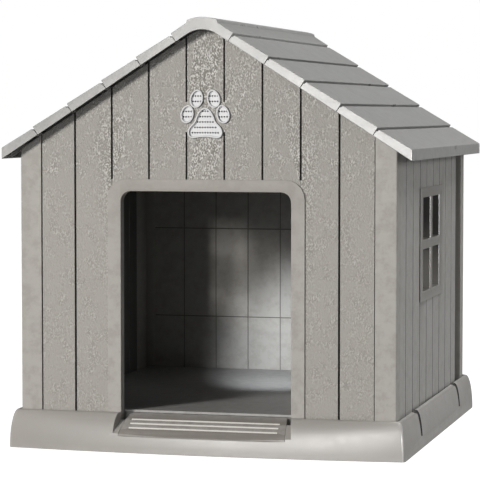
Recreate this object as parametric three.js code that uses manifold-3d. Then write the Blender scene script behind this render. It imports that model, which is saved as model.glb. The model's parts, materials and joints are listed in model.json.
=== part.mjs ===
// Plastic dog house: a ring of four base rails carries a two-piece floor and four corner posts.
// Twin-wall boarded panels stand between the posts, a door frame and a sloped threshold line the doorway,
// and a gable roof of lapped planks hangs over the walls from a rounded ridge cap.
//
// Millimetres, +Z up. The origin is on the ground under the middle of the walls, and the door faces -Y.
// "Inset" is a distance inwards from the outer faces of the corner posts.
import * as THREE from 'three';
import { mergeVertices } from 'three/addons/utils/BufferGeometryUtils.js';
import Module from 'manifold-3d';

const wasm = await Module();
wasm.setup();

// ---------------------------------------------------------------- driving dimensions

// Walls, over the outer faces of the corner posts
const wallWidth = 866;
const wallDepth = 913;
const wallThickness = 25;
const fitGap = 0.3;
const cutPast = 5; // how far a cutting tool runs past the face it opens

// Boarded panels: two skins with a cell behind each board
const boardRecess = 3; // board faces lie behind the posts and trims
const frontBoardPitch = 86.8;
const sideBoardPitch = 88;
const sideBoardStart = 122; // front face of the wall to the first groove of a side wall
const grooveWidth = 4;
const grooveDepth = 3.2;
const innerGrooveWidth = 2;
const innerGrooveDepth = 1.2;
const panelSkin = 2.8;
const cellWeb = 9; // solid web behind each groove
const cellHeadroom = 30; // solid band along a panel's top edge
const tongueThickness = 6;
const tongueLength = 6;

// Corner posts
const postFrontWidth = 49;
const postSideFront = 42;
const postSideRear = 47;
const rearRecessWidth = 63; // set-back strip between the rear post's face and the side boards
const rearRecessDepth = 12;

// Base rails
const railHeight = 86;
const railLip = 8; // reach of the rail's top edge past the walls
const railFoot = 23.5; // reach of its foot
const frontBow = 23.5; // extra reach of the foot at the middle of the front and the rear
const railSkin = 5;
const railCornerRadius = 9;
const shelfTop = 60;
const shelfThickness = 5;
const legInset = 38;
const legThickness = 5;
const seamInset = 189; // front or rear wall face to the seam between two rails
const slitTopWidth = 14;
const slitFootWidth = 6;
const slitFootHeight = 28;
const lipNotchLength = 22;
const lipNotchDepth = 5;
const railTongue = 16;

// Floor
const floorTop = 88;
const floorThickness = 6;
const floorInset = 31;
const beamWidth = 60;
const beamWall = 5;
const footTopRadius = 26;
const footRadius = 20;

// Doorway, threshold
const doorWidth = 392;
const doorTop = 583;
const doorRadius = 23;
const doorTrimSide = 31;
const doorTrimTop = 27;
const doorTrimRadius = 42;
const doorSleeve = 8;
const thresholdSideGap = 14; // each side of the threshold's head lies this far inside the doorway
const thresholdFlare = 10.5; // and its foot reaches this much further out
const notchFlare = 11; // the front rail's notch opens by this much on each side from the wall to the foot
const thresholdInnerInset = 30;
const thresholdTop = 82;
const thresholdFoot = 38;
const thresholdSkin = 5;
const treadSag = 6; // how far the tread's curve bends below its head at the wall's face
const firstGrip = 0.38; // share of the tread's run, from its head, to the first grip
const gripStep = 0.17; // and from each grip to the next
const gripMargin = 11; // from a grip's end to the side of the threshold's head
const gripWidth = 3.4;
const gripHeight = 1.4;
const gripSeat = 1; // depth of the seat that a grip stands in
const gripCount = 3;

// Windows, one in each side wall
const windowWidth = 301;
const windowBottom = 322;
const windowTop = 585;
const windowCentreInset = 440; // front wall face to the window's middle
const windowBorderSide = 37;
const windowBorderEnd = 23;
const windowBar = 22.5;
const windowFlange = 12; // how far the flange laps the boards
const retainerThickness = 4;

// Rear wall
const rearSeamHeight = 457;

// Roof
const roofPitch = THREE.MathUtils.degToRad(32.5);
const eaveUnderside = 654; // height of the eave's lower edge
const eaveReach = 36; // past the side walls
const gableReach = 26; // past the front and rear walls
const plankThickness = 21.5;
const plankLap = 2.9; // each plank's upper edge lies this much under its neighbour's lower edge
const plankPitch = 80.8; // across the house, from joint to joint
const planksPerSlope = 5;
const roofSkin = 3.2;
const roofWeb = 3.4;
const roofRib = 2.4;
const roofCellLength = 105;
const tabWidth = 18;
const tabDrop = 17;
const tabScrewDrop = 9;
const plankNose = 1.2; // bevel of a plank's lower top edge
const shoulderRun = 6.5; // rebate along a plank's upper edge, under its neighbour's lip
const shoulderDrop = 4.8;

// Ridge cap
const capReach = 60; // middle of the roof to the cap's lower edge
const rollHalfWidth = 34;
const rollEdgeRise = 6.5;
const rollRise = 6.7;
const archRadius = 63;

// Paw vent in the front gable
const pawHeight = 755;
const pawRim = 4;
const pawProud = 4.2;
const pawGrilleDepth = 4.5;
const pawGrilleThickness = 2.4;
const pawSleeve = 2;
const pawHole = 2.6;
const pawHolePitch = 5.9;
const pawRowPitch = 11.9;
const toeRadiusAcross = 15.3;
const toeRadiusAlong = 20.8;
const toeTilt = THREE.MathUtils.degToRad(13);
const innerToe = { across: 19.5, up: 34.1 };
const outerToe = { across: 41, up: 0 };
const padOutline = [
  [0, 14.6], [11.5, 9.2], [19.6, -3.5], [25.5, -17.5], [36, -28.5],
  [40.2, -40.5], [36.4, -50.4], [27, -53.8], [14, -51.6], [0, -50.9],
];

// Screws
const screwRadius = 2;
const screwHeadRadius = 4.5;
const screwHeadHeight = 3;
const screwClearance = 0.3;
const screwSides = 8;

// ---------------------------------------------------------------- derived places

const halfWidth = wallWidth / 2;
const halfDepth = wallDepth / 2;
const panelBottom = shelfTop + fitGap;
const panelMiddle = (boardRecess + wallThickness) / 2;
const slope = Math.tan(roofPitch);
const eaveX = halfWidth + eaveReach;
const ridgeLine = eaveUnderside + eaveX * slope; // where the undersides of the slopes would meet
const roofHalfLength = halfDepth + gableReach;
const windowY = windowCentreInset - halfDepth;

/** Height of the roof's underside at a distance from the middle of the house. */
const undersideAt = (x) => ridgeLine - Math.abs(x) * slope;

/** Y of a depth measured inwards from the front (-1) or rear (+1) wall face. */
const inFrom = (face, inset) => face * (halfDepth - inset);

// ---------------------------------------------------------------- materials

const plastic = (color, roughness) => new THREE.MeshStandardMaterial({ color, roughness, metalness: 0 });
const boardPlastic = plastic(0xa9a59d, 0.65);
const smoothPlastic = plastic(0xaaa69f, 0.5);
const roofPlastic = plastic(0x96958f, 0.5);
const ventPlastic = plastic(0xe6e4e2, 0.5);
const gripPlastic = plastic(0xd2cfc9, 0.5);
const floorPlastic = plastic(0x6a6a69, 0.6);
const screwSteel = new THREE.MeshStandardMaterial({ color: 0x8d9094, roughness: 0.35, metalness: 1 });

// ---------------------------------------------------------------- solid helpers

/** Turns a closed geometry into a solid that can be joined and cut. */
function solid(geometry) {
  const bare = geometry.index ? geometry.toNonIndexed() : geometry.clone();
  bare.deleteAttribute('normal');
  bare.deleteAttribute('uv');
  const merged = mergeVertices(bare, 1e-4);
  return new wasm.Manifold(new wasm.Mesh({
    numProp: 3,
    vertProperties: new Float32Array(merged.attributes.position.array),
    triVerts: new Uint32Array(merged.index.array),
  }));
}

/** Geometry of a finished solid. */
function geometryOf(body) {
  const { vertProperties, triVerts } = body.getMesh();
  const geometry = new THREE.BufferGeometry();
  geometry.setAttribute('position', new THREE.BufferAttribute(vertProperties, 3));
  geometry.setIndex(new THREE.BufferAttribute(triVerts, 1));
  return geometry;
}

const joined = (bodies) => bodies.reduce((whole, body) => whole.add(body));
const cut = (body, tools) => tools.reduce((rest, tool) => rest.subtract(tool), body);

/** Box between two values on each axis, given in either order. */
function box([x0, x1], [y0, y1], [z0, z1]) {
  const geometry = new THREE.BoxGeometry(Math.abs(x1 - x0), Math.abs(y1 - y0), Math.abs(z1 - z0));
  geometry.translate((x0 + x1) / 2, (y0 + y1) / 2, (z0 + z1) / 2);
  return solid(geometry);
}

const along = {
  // An outline's two coordinates, and the axis that it is extruded along
  x: new THREE.Matrix4().makeBasis(
    new THREE.Vector3(0, 1, 0), new THREE.Vector3(0, 0, 1), new THREE.Vector3(1, 0, 0)),
  y: new THREE.Matrix4().makeBasis(
    new THREE.Vector3(1, 0, 0), new THREE.Vector3(0, 0, 1), new THREE.Vector3(0, -1, 0)),
  z: new THREE.Matrix4(),
};

/** Outline extruded along an axis between two values of it. */
function prism(axis, outline, [from, to]) {
  const low = Math.min(from, to);
  const high = Math.max(from, to);
  const shape = new THREE.Shape(outline.map(([a, b]) => new THREE.Vector2(a, b)));
  const geometry = new THREE.ExtrudeGeometry(shape, { depth: high - low, bevelEnabled: false });
  geometry.applyMatrix4(along[axis]);
  const start = axis === 'y' ? high : low;
  geometry.translate(axis === 'x' ? start : 0, axis === 'y' ? start : 0, axis === 'z' ? start : 0);
  return solid(geometry);
}

/** Round bar along an axis, through a point given by its two other coordinates. */
function bar(axis, [a, b], radius, range) {
  const corners = Array.from({ length: screwSides }, (_, i) => {
    const angle = (i + 0.5) * 2 * Math.PI / screwSides;
    return [a + radius * Math.cos(angle), b + radius * Math.sin(angle)];
  });
  return prism(axis, corners, range);
}

const mirrored = (outline) => outline.map(([a, b]) => [-a, b]);

/** Points of an arc round a centre, from one angle to another in degrees. */
function arc([cx, cy], radius, fromDegrees, toDegrees, steps) {
  return Array.from({ length: steps + 1 }, (_, i) => {
    const angle = THREE.MathUtils.degToRad(fromDegrees + (toDegrees - fromDegrees) * i / steps);
    return [cx + radius * Math.cos(angle), cy + radius * Math.sin(angle)];
  });
}

/** Closed solid through a stack of convex level loops with equal point counts. */
function stack(levels) {
  const count = levels[0].loop.length;
  const positions = levels.flatMap(({ z, loop }) => loop.flatMap(([x, y]) => [x, y, z]));
  const top = (levels.length - 1) * count;
  const faces = [];
  for (let level = 0; level + 1 < levels.length; level += 1) {
    for (let i = 0; i < count; i += 1) {
      const a = level * count + i;
      const b = level * count + (i + 1) % count;
      faces.push(a, b, b + count, a, b + count, a + count);
    }
  }
  for (let i = 1; i + 1 < count; i += 1) {
    faces.push(0, i + 1, i, top, top + i, top + i + 1);
  }
  const geometry = new THREE.BufferGeometry();
  geometry.setAttribute('position', new THREE.Float32BufferAttribute(positions, 3));
  geometry.setIndex(faces);
  return solid(geometry);
}

/** Screw with its head's bearing face at the origin and its shank along -Z. */
function screwGeometry(shankLength) {
  const profile = [
    [0, -shankLength], [screwRadius, -shankLength + screwRadius], [screwRadius, 0],
    [screwHeadRadius, 0], [screwHeadRadius, screwHeadHeight * 0.6], [0, screwHeadHeight],
  ];
  const geometry = new THREE.LatheGeometry(profile.map(([r, h]) => new THREE.Vector2(r, h)), screwSides);
  geometry.rotateX(Math.PI / 2);
  return geometryOf(solid(geometry));
}

// ---------------------------------------------------------------- scene graph

const house = new THREE.Group();
const base = new THREE.Group();
const walls = new THREE.Group();
const roof = new THREE.Group();
house.add(base, walls, roof);

/** Adds a named sub-part to a group. */
function addPart(group, name, body, material) {
  const geometry = body.isBufferGeometry ? body : geometryOf(body);
  const mesh = new THREE.Mesh(geometry, material);
  mesh.name = name;
  group.add(mesh);
  return mesh;
}

const sides = [{ name: 'left', side: -1 }, { name: 'right', side: 1 }];
const ends = [{ end: 'front', face: -1 }, { end: 'rear', face: 1 }];
const fourCorners = ends.flatMap(({ end, face }) => sides.map(({ name, side }) => (
  { name: `${end}_${name}`, face, side })));

/** Adds a screw with its head at a position and its shank along a direction. */
function addScrew(group, name, shankLength, position, direction) {
  const screw = addPart(group, name, screwGeometry(shankLength), screwSteel);
  screw.position.set(...position);
  screw.quaternion.setFromUnitVectors(new THREE.Vector3(0, 0, -1), new THREE.Vector3(...direction));
}

// ---------------------------------------------------------------- base rails

/** Loop of the base's outline at a height, its skirt a quarter ellipse in section. */
function skirtLevel(angle, inwards) {
  const share = Math.cos(angle);
  const sideReach = railLip + (railFoot - railLip) * share - inwards;
  const bow = frontBow * share;
  const straight = halfWidth + sideReach - railCornerRadius;
  const corner = halfDepth + sideReach - railCornerRadius;
  const bowSteps = 12;
  const cornerSteps = 4;
  const quarter = (across, face) => {
    const start = across > 0 ? (face > 0 ? 0 : -90) : (face > 0 ? 90 : 180);
    return arc([across * straight, face * corner], railCornerRadius, start, start + 90, cornerSteps);
  };
  const edge = (face) => Array.from({ length: bowSteps - 1 }, (_, i) => {
    const x = -face * straight * (2 * (i + 1) / bowSteps - 1);
    return [x, face * (halfDepth + sideReach + bow * (1 - (x / straight) ** 2))];
  });
  return [
    ...quarter(-1, -1), ...edge(-1), ...quarter(1, -1),
    ...quarter(1, 1), ...edge(1), ...quarter(-1, 1),
  ];
}

/** The base's envelope, or the same drawn in by the rails' skin. */
function skirt(inwards) {
  const steps = 9;
  const levels = Array.from({ length: steps + 1 }, (_, i) => {
    const angle = (i / steps) * Math.PI / 2;
    return { z: railHeight * Math.sin(angle), loop: skirtLevel(angle, inwards) };
  });
  if (inwards > 0) {
    levels[0].z = -cutPast;
    levels.push({ z: railHeight + cutPast, loop: levels[steps].loop });
  }
  return stack(levels);
}

const insetBox = (inset, z) => box(
  [inset - halfWidth, halfWidth - inset], [inset - halfDepth, halfDepth - inset], z);

const legTop = floorTop - floorThickness - fitGap;
const envelope = skirt(0);
const inside = insetBox(legInset + legThickness, [-cutPast, railHeight + cutPast]);
const shelf = envelope.intersect(
  insetBox(-railFoot - frontBow, [shelfTop - shelfThickness, shelfTop])).subtract(inside);
const leg = insetBox(legInset, [0, legTop]).subtract(inside);
const ring = joined([envelope.subtract(skirt(railSkin)), shelf, leg]);

// The threshold's tread falls in a gentle curve from the floor's edge to the front rail's foot
const bowedFoot = railFoot + frontBow;
const treadHalf = doorWidth / 2 - thresholdSideGap;
const treadHead = inFrom(-1, thresholdInnerInset);
const treadFoot = inFrom(-1, railSkin - bowedFoot);
const treadCurve = new THREE.QuadraticBezierCurve(
  new THREE.Vector2(treadHead, thresholdTop),
  new THREE.Vector2(inFrom(-1, 0), thresholdTop - treadSag),
  new THREE.Vector2(treadFoot, thresholdFoot + fitGap * 3));
const treadPoints = treadCurve.getPoints(6).map(({ x, y }) => [x, y]);

/** Column whose sides run straight out to an inset, and from there flare towards the rail's foot. */
function flaredColumn(half, flare, inset) {
  const run = inset + bowedFoot;
  const side = [
    [half, inFrom(-1, legInset)], [half, inFrom(-1, inset)],
    [half + flare * (run + cutPast) / run, inFrom(-1, -bowedFoot - cutPast)],
  ];
  return prism('z', [...side, ...mirrored(side).reverse()], [thresholdFoot - fitGap, railHeight + cutPast]);
}

// The doorway's notch: flared side walls, margins flush with the tread, and a low ledge that carries it
const notchHalf = doorWidth / 2;
const cheekEnd = notchHalf + notchFlare + 2 * railSkin;
const ledgeFoot = thresholdFoot - fitGap - shelfThickness;
const cheeks = joined(sides.map(({ side }) => box([side * treadHalf, side * cheekEnd],
  [inFrom(-1, -bowedFoot), inFrom(-1, -fitGap)], [ledgeFoot, railHeight])));
const ledge = box([-cheekEnd, cheekEnd], [inFrom(-1, legInset), inFrom(-1, -bowedFoot)],
  [ledgeFoot, thresholdFoot - fitGap]);
const overTread = prism('x', [
  [inFrom(-1, legInset), railHeight + cutPast], [inFrom(-1, legInset), thresholdTop], ...treadPoints,
  [inFrom(-1, -bowedFoot - cutPast), thresholdFoot], [inFrom(-1, -bowedFoot - cutPast), railHeight + cutPast],
], [-cheekEnd, cheekEnd]);
const ringWithDoorway = cut(joined([ring, envelope.intersect(cheeks), envelope.intersect(ledge)]), [
  flaredColumn(treadHalf + fitGap, thresholdFlare, thresholdInnerInset),
  flaredColumn(notchHalf, notchFlare, 0).intersect(overTread),
]);

const seamY = halfDepth - seamInset;
const past = railFoot + frontBow + cutPast;
const allHeights = [-cutPast, railHeight + cutPast];
const halfGap = fitGap / 2;

/** Tapered slit through the skirt at a seam, open at the top, and the notch in the lip in front of it. */
function slitTool(side, seam) {
  const outline = [
    [seam - slitFootWidth / 2, slitFootHeight], [seam + slitFootWidth / 2, slitFootHeight],
    [seam + slitTopWidth / 2, railHeight + cutPast], [seam - slitTopWidth / 2, railHeight + cutPast],
  ];
  const acrossSkin = [side * (halfWidth + fitGap), side * (halfWidth + past)];
  const lipNotch = box(acrossSkin, [seam - slitTopWidth / 2 - lipNotchLength, seam],
    [railHeight - lipNotchDepth, railHeight + cutPast]);
  return prism('x', outline, acrossSkin).add(lipNotch);
}

const slits = sides.flatMap(({ side }) => [slitTool(side, -seamY), slitTool(side, seamY)]);
const railRing = cut(ringWithDoorway, slits);
const wide = [-halfWidth - past, halfWidth + past];
const endZone = (face) => box(wide, [face * (seamY + halfGap), face * (halfDepth + past)], allHeights);
const sideZone = (side) => box(
  [side * (halfWidth - legInset - legThickness - cutPast), side * (halfWidth + past)],
  [-seamY + halfGap, seamY - halfGap], allHeights);

// Each end of a side rail runs on as a tongue under its neighbour's shelf
const tongueTop = shelfTop - shelfThickness - fitGap;
const tongueX = [halfWidth - legInset + fitGap, halfWidth - fitGap];

function railTongues(side) {
  return joined(ends.map(({ face }) => box(tongueX.map((x) => side * x),
    [face * (seamY - railTongue), face * (seamY + railTongue)],
    [tongueTop - shelfThickness, tongueTop])));
}

/** Block that ties a side rail's tongues to its shelf. */
const tongueRoots = (side) => joined(ends.map(({ face }) => box(tongueX.map((x) => side * x),
  [face * (seamY - railTongue), face * (seamY - halfGap)],
  [tongueTop - shelfThickness, shelfTop - shelfThickness])));

const postScrewInset = wallThickness / 2;
const postScrewLength = 26;
const postScrewZ = shelfTop - shelfThickness - fitGap;
const holeRadius = screwRadius + screwClearance;
const postScrewAt = ({ face, side }) => [side * (halfWidth - postScrewInset), inFrom(face, postScrewInset)];
const postScrewHoles = fourCorners.map((corner) => bar('z', postScrewAt(corner), holeRadius,
  [postScrewZ - cutPast, shelfTop + cutPast]));

for (const { end, face } of ends) {
  addPart(base, `base_${end}_rail`, cut(railRing.intersect(endZone(face)), postScrewHoles), smoothPlastic);
}
for (const { name, side } of sides) {
  const rail = joined([railRing.intersect(sideZone(side)), railTongues(side), tongueRoots(side)]);
  addPart(base, `base_side_rail_${name}`, rail, smoothPlastic);
}
for (const corner of fourCorners) {
  const position = [...postScrewAt(corner), postScrewZ];
  addScrew(base, `post_screw_${corner.name}`, postScrewLength, position, [0, 0, 1]);
}

// ---------------------------------------------------------------- door threshold

const treadUnder = treadPoints.map(([y, z]) => [y, z - thresholdSkin]);
const treadSection = [...treadPoints, [treadFoot, thresholdFoot], [treadHead, thresholdFoot]];
const cavityHead = treadHead - thresholdSkin;
const treadCavity = [
  [cavityHead, thresholdFoot - cutPast],
  ...treadUnder.filter(([y, z]) => z > thresholdFoot + fitGap && y < cavityHead),
  [treadFoot + 4 * thresholdSkin, thresholdFoot - cutPast],
];
const treadCell = (treadHalf - 2 * thresholdSkin) / 2;

/** A place on the tread at a share of its run, with the slope there. */
const treadAt = (share) => ({ point: treadCurve.getPointAt(share), tangent: treadCurve.getTangentAt(share) });

/** Grip strip as a low bar lying on the tread, or the shallow seat that it stands in. */
function gripBar(share, rise, sink, grow) {
  const { point, tangent } = treadAt(share);
  const place = new THREE.Matrix4()
    .makeRotationX(Math.atan2(-tangent.y, -tangent.x))
    .setPosition(0, point.x, point.y);
  const length = 2 * (treadHalf - gripMargin);
  const geometry = new THREE.BoxGeometry(length + grow, gripWidth + grow, rise + sink);
  geometry.translate(0, 0, (rise - sink) / 2);
  return geometry.applyMatrix4(place);
}

const gripShares = Array.from({ length: gripCount }, (_, i) => firstGrip + gripStep * i);
const treadBody = prism('x', treadSection, [-cheekEnd, cheekEnd])
  .intersect(flaredColumn(treadHalf, thresholdFlare, thresholdInnerInset))
  .intersect(envelope.add(insetBox(0, [0, railHeight])));
const threshold = cut(treadBody, [
  ...[-3, -1, 1, 3].map((place) => prism('x', treadCavity, [
    place * (treadCell + thresholdSkin) / 2 - (treadCell - thresholdSkin) / 2,
    place * (treadCell + thresholdSkin) / 2 + (treadCell - thresholdSkin) / 2])),
  ...gripShares.map((share) => solid(gripBar(share, gripHeight, gripSeat + fitGap, 2 * fitGap))),
]);
addPart(base, 'door_threshold', threshold, smoothPlastic);
gripShares.forEach((share, i) => {
  addPart(base, `threshold_grip_${i + 1}`, solid(gripBar(share, gripHeight, gripSeat, 0)), gripPlastic);
});

// ---------------------------------------------------------------- floor

const floorBottom = floorTop - floorThickness;
const beamHalf = beamWidth / 2;
const beamEnd = halfWidth - legInset - legThickness - fitGap;
const beamTop = floorBottom - fitGap;
const beam = box([-beamEnd, beamEnd], [-beamHalf, beamHalf], [0, beamTop]).subtract(
  box([-beamEnd + beamWall, beamEnd - beamWall], [-beamHalf + beamWall, beamHalf - beamWall],
    [-cutPast, beamTop - beamWall]));

const footProfile = [[0, 0], [footRadius, 0], [footTopRadius, beamTop], [0, beamTop]]
  .map(([r, z]) => new THREE.Vector2(r, z));

addPart(base, 'floor_beam', beam, floorPlastic);
for (const { end, face } of ends) {
  addPart(base, `floor_panel_${end}`, box([floorInset - halfWidth, halfWidth - floorInset],
    [face * halfGap, inFrom(face, floorInset)], [floorBottom, floorTop]), floorPlastic);
  const foot = addPart(base, `floor_foot_${end}`,
    solid(new THREE.LatheGeometry(footProfile, 12).rotateX(Math.PI / 2)), floorPlastic);
  foot.position.y = face * (halfDepth - floorInset) / 2;
}

// ---------------------------------------------------------------- roof layout

const tabInset = wallThickness + fitGap;
const roofTopClear = ridgeLine + plankThickness + cutPast;
const archStart = archRadius * Math.sin(roofPitch);
const archCentre = undersideAt(archStart) - archRadius * Math.cos(roofPitch);
const archSteps = 8;
const pitchDegrees = THREE.MathUtils.radToDeg(roofPitch);
const archPoints = (lower) => arc(
  [0, archCentre - lower], archRadius, 90 - pitchDegrees, 90 + pitchDegrees, archSteps);

/** Everything under the roof, in section: the walls' tops follow it with a gap. */
const underRoof = prism('y', [
  [-eaveX, -cutPast], [eaveX, -cutPast], [eaveX, undersideAt(eaveX) - fitGap],
  ...archPoints(fitGap), [-eaveX, undersideAt(eaveX) - fitGap],
], [-roofHalfLength, roofHalfLength]);

// Locating tabs behind the gable walls: one on each plank at each end, and two on the cap, held by screws
const jointX = Array.from({ length: planksPerSlope }, (_, i) => capReach + i * plankPitch);
const capTabX = (archStart + capReach) / 2;
const eaveTabX = halfWidth - wallThickness - fitGap - tabWidth * 0.7;
const plankTabX = jointX.map((x, i) => (i + 1 < planksPerSlope ? x + plankPitch / 2 : eaveTabX));
const capScrewLength = 15;
const capScrewInset = tabInset + roofWeb + fitGap;
const capScrewX = capTabX - tabScrewDrop * Math.sin(roofPitch);
const capScrewZ = undersideAt(capScrewX) - tabScrewDrop / Math.cos(roofPitch);
const capPilots = fourCorners.map(({ face, side }) => bar('y', [side * capScrewX, capScrewZ], holeRadius,
  [inFrom(face, capScrewInset - capScrewLength - 1), inFrom(face, capScrewInset + cutPast)]));

// ---------------------------------------------------------------- walls

const tallRange = [panelBottom, roofTopClear];
const tongueInset = [panelMiddle - tongueThickness / 2, panelMiddle + tongueThickness / 2];
const slotInset = [tongueInset[0] - fitGap, tongueInset[1] + fitGap];
const slotDepth = tongueLength + fitGap;

/** Corner post: an L in plan, with slots for the tongues of the panels on both sides of it. */
function cornerPost(side, face) {
  const sideLength = face < 0 ? postSideFront : postSideRear;
  const x = (inset) => side * (halfWidth - inset);
  const y = (inset) => inFrom(face, inset);
  const bodies = [
    box([x(0), x(postFrontWidth)], [y(0), y(wallThickness)], tallRange),
    box([x(0), x(wallThickness)], [y(0), y(sideLength)], tallRange),
  ];
  const sideEnd = face < 0 ? sideLength : sideLength + rearRecessWidth;
  if (face > 0) {
    bodies.push(box([x(rearRecessDepth), x(wallThickness)], [y(sideLength - 1), y(sideEnd)], tallRange));
  }
  const slots = [
    box([x(postFrontWidth - slotDepth), x(postFrontWidth + cutPast)], slotInset.map(y), [0, roofTopClear]),
    box(slotInset.map(x), [y(sideEnd - slotDepth), y(sideEnd + cutPast)], [0, roofTopClear]),
  ];
  const pilot = bar('z', postScrewAt({ face, side }), holeRadius, [0, postScrewZ + postScrewLength + 1]);
  return cut(joined(bodies).intersect(underRoof), [...slots, pilot]);
}

for (const { name, face, side } of fourCorners) {
  addPart(walls, `corner_post_${name}`, cornerPost(side, face), smoothPlastic);
}

/** Vertical groove in the outer and inner face of a front (-1) or rear (+1) panel. */
function faceGroove(face, x, heights) {
  return [
    box([x - grooveWidth / 2, x + grooveWidth / 2],
      [inFrom(face, boardRecess + grooveDepth), inFrom(face, -cutPast)], heights),
    box([x - innerGrooveWidth / 2, x + innerGrooveWidth / 2],
      [inFrom(face, wallThickness - innerGrooveDepth), inFrom(face, wallThickness + cutPast)], heights),
  ];
}

/** Cell behind one board of a front or rear panel, open at the panel's lower edge. */
function faceCell(face, [x0, x1], bottom, top) {
  return box([x0, x1], [inFrom(face, boardRecess + panelSkin), inFrom(face, wallThickness - panelSkin)],
    [bottom - cutPast, top]);
}

const faceSlab = (face, xs, zs) => box(xs, [inFrom(face, boardRecess), inFrom(face, wallThickness)], zs);
const faceTongue = (face, xs, zs) => box(xs, tongueInset.map((inset) => inFrom(face, inset)), zs);
const faceSlot = (face, xs, zs) => box(xs, slotInset.map((inset) => inFrom(face, inset)), zs);
const cellTopUnder = (x) => undersideAt(x) - cellHeadroom / Math.cos(roofPitch);

const boardSeam = 2.5 * frontBoardPitch; // edge of the gable panel, and the boards' seams
const panelEdge = halfWidth - postFrontWidth - fitGap;
const sleeveHalf = doorWidth / 2 + doorSleeve;
const sleeveTop = doorTop + doorSleeve;
const frontBoardEdges = [2.5, 3.5].map((boards) => boards * frontBoardPitch);

/** Front panel beside the door, from the doorway to the corner post. */
function frontPanel(side) {
  const inner = sleeveHalf + fitGap;
  const bodies = [
    faceSlab(-1, [side * inner, side * panelEdge], [panelBottom, sleeveTop + fitGap]),
    faceSlab(-1, [side * boardSeam, side * panelEdge], tallRange),
    faceTongue(-1, [side * (panelEdge - 1), side * (panelEdge + tongueLength)], tallRange),
  ];
  const slot = faceSlot(-1, [side * (boardSeam - 1), side * (boardSeam + slotDepth)],
    [sleeveTop + fitGap, roofTopClear]);
  const doorway = faceSlab(-1, [-inner, inner], [0, sleeveTop + fitGap]);
  const groove = faceGroove(-1, side * frontBoardEdges[1], [0, roofTopClear]);
  const seamCut = faceGroove(-1, side * boardSeam, [doorTop + doorTrimTop, roofTopClear]);
  const web = cellWeb / 2;
  const cells = [
    faceCell(-1, [side * (boardSeam + slotDepth + web), side * (frontBoardEdges[1] - web)],
      panelBottom, cellTopUnder(frontBoardEdges[1])),
    faceCell(-1, [side * (frontBoardEdges[1] + web), side * (panelEdge - cellWeb)],
      panelBottom, cellTopUnder(panelEdge)),
  ];
  return cut(joined(bodies).intersect(underRoof), [slot, doorway, ...groove, ...seamCut, ...cells]);
}

for (const { name, side } of sides) {
  addPart(walls, `front_panel_${name}`, frontPanel(side), boardPlastic);
}

// ---------------------------------------------------------------- paw vent outlines

const toePoints = 16;
const padPoints = 30;

/** Egg-shaped toe outline. */
function toeOutline({ across, up: rise }, side, grow) {
  return Array.from({ length: toePoints }, (_, i) => {
    const angle = i * 2 * Math.PI / toePoints;
    const taper = 1 - 0.06 * Math.sin(angle);
    const u = (toeRadiusAcross + grow) * Math.cos(angle) * taper;
    const v = (toeRadiusAlong + grow) * Math.sin(angle);
    const tilt = side * -toeTilt;
    return [
      side * across + u * Math.cos(tilt) + v * Math.sin(tilt),
      pawHeight + rise - u * Math.sin(tilt) + v * Math.cos(tilt),
    ];
  });
}

const padHalf = padOutline.map(([x, z]) => new THREE.Vector3(x, 0, z));
const padOtherHalf = padHalf.slice(1, -1).reverse().map(({ x, z }) => new THREE.Vector3(-x, 0, z));
const padCurve = new THREE.CatmullRomCurve3([...padHalf, ...padOtherHalf], true, 'catmullrom', 0.5);

/** Main pad's outline, moved outwards by a distance. */
function padOutlineAt(grow) {
  return Array.from({ length: padPoints }, (_, i) => {
    const point = padCurve.getPoint(i / padPoints);
    const tangent = padCurve.getTangent(i / padPoints);
    return [point.x - tangent.z * grow, pawHeight + point.z + tangent.x * grow];
  });
}

const ventFace = inFrom(-1, boardRecess - pawProud);
const boardFaceY = inFrom(-1, boardRecess);
const ventBack = inFrom(-1, wallThickness);

/** Vent insert: a rim on the board's face, a sleeve through the panel and a slotted grille in it. */
function ventInsert(outlineAt, holes) {
  const sleeveGrow = -pawRim + pawSleeve;
  const rim = prism('y', outlineAt(0), [ventFace, boardFaceY - fitGap]);
  const sleeve = prism('y', outlineAt(sleeveGrow), [ventFace + 1, ventBack]);
  const bore = prism('y', outlineAt(-pawRim), [ventFace - cutPast, ventBack + cutPast]);
  const grilleY = [ventFace + pawGrilleDepth, ventFace + pawGrilleDepth + pawGrilleThickness];
  const grille = prism('y', outlineAt(-pawRim + pawSleeve / 2), grilleY);
  const punches = holes.map(([x, z]) => box([x - pawHole / 2, x + pawHole / 2],
    [grilleY[0] - 1, grilleY[1] + 1], [z - pawHole / 2, z + pawHole / 2]));
  return cut(rim.add(sleeve).subtract(bore).add(grille), punches);
}

/** Row of hole centres, evenly spaced about a middle. */
const holeRow = (middle, z, count) => Array.from({ length: count }, (_, i) => [
  middle + (i - (count - 1) / 2) * pawHolePitch, z]);

const toes = sides.flatMap(({ name, side }) => [
  { toe: innerToe, side, name: `inner_${name}` },
  { toe: outerToe, side, name: `outer_${name}` },
]);
const toeHoles = ({ toe, side }) => [0, 1].flatMap((row) => holeRow(
  side * toe.across, pawHeight + toe.up + (0.5 - row) * pawRowPitch, 4));
const padRowCounts = [3, 5, 7, 9, 11];
const padHoles = padRowCounts.flatMap((count, row) => holeRow(0, pawHeight + 6.4 - row * pawRowPitch, count));
const ventOpenings = [
  ...toes.map(({ toe, side }) => toeOutline(toe, side, -pawRim + pawSleeve + fitGap)),
  padOutlineAt(-pawRim + pawSleeve + fitGap),
].map((outline) => prism('y', outline, [ventFace - cutPast, ventBack + cutPast]));

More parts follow.
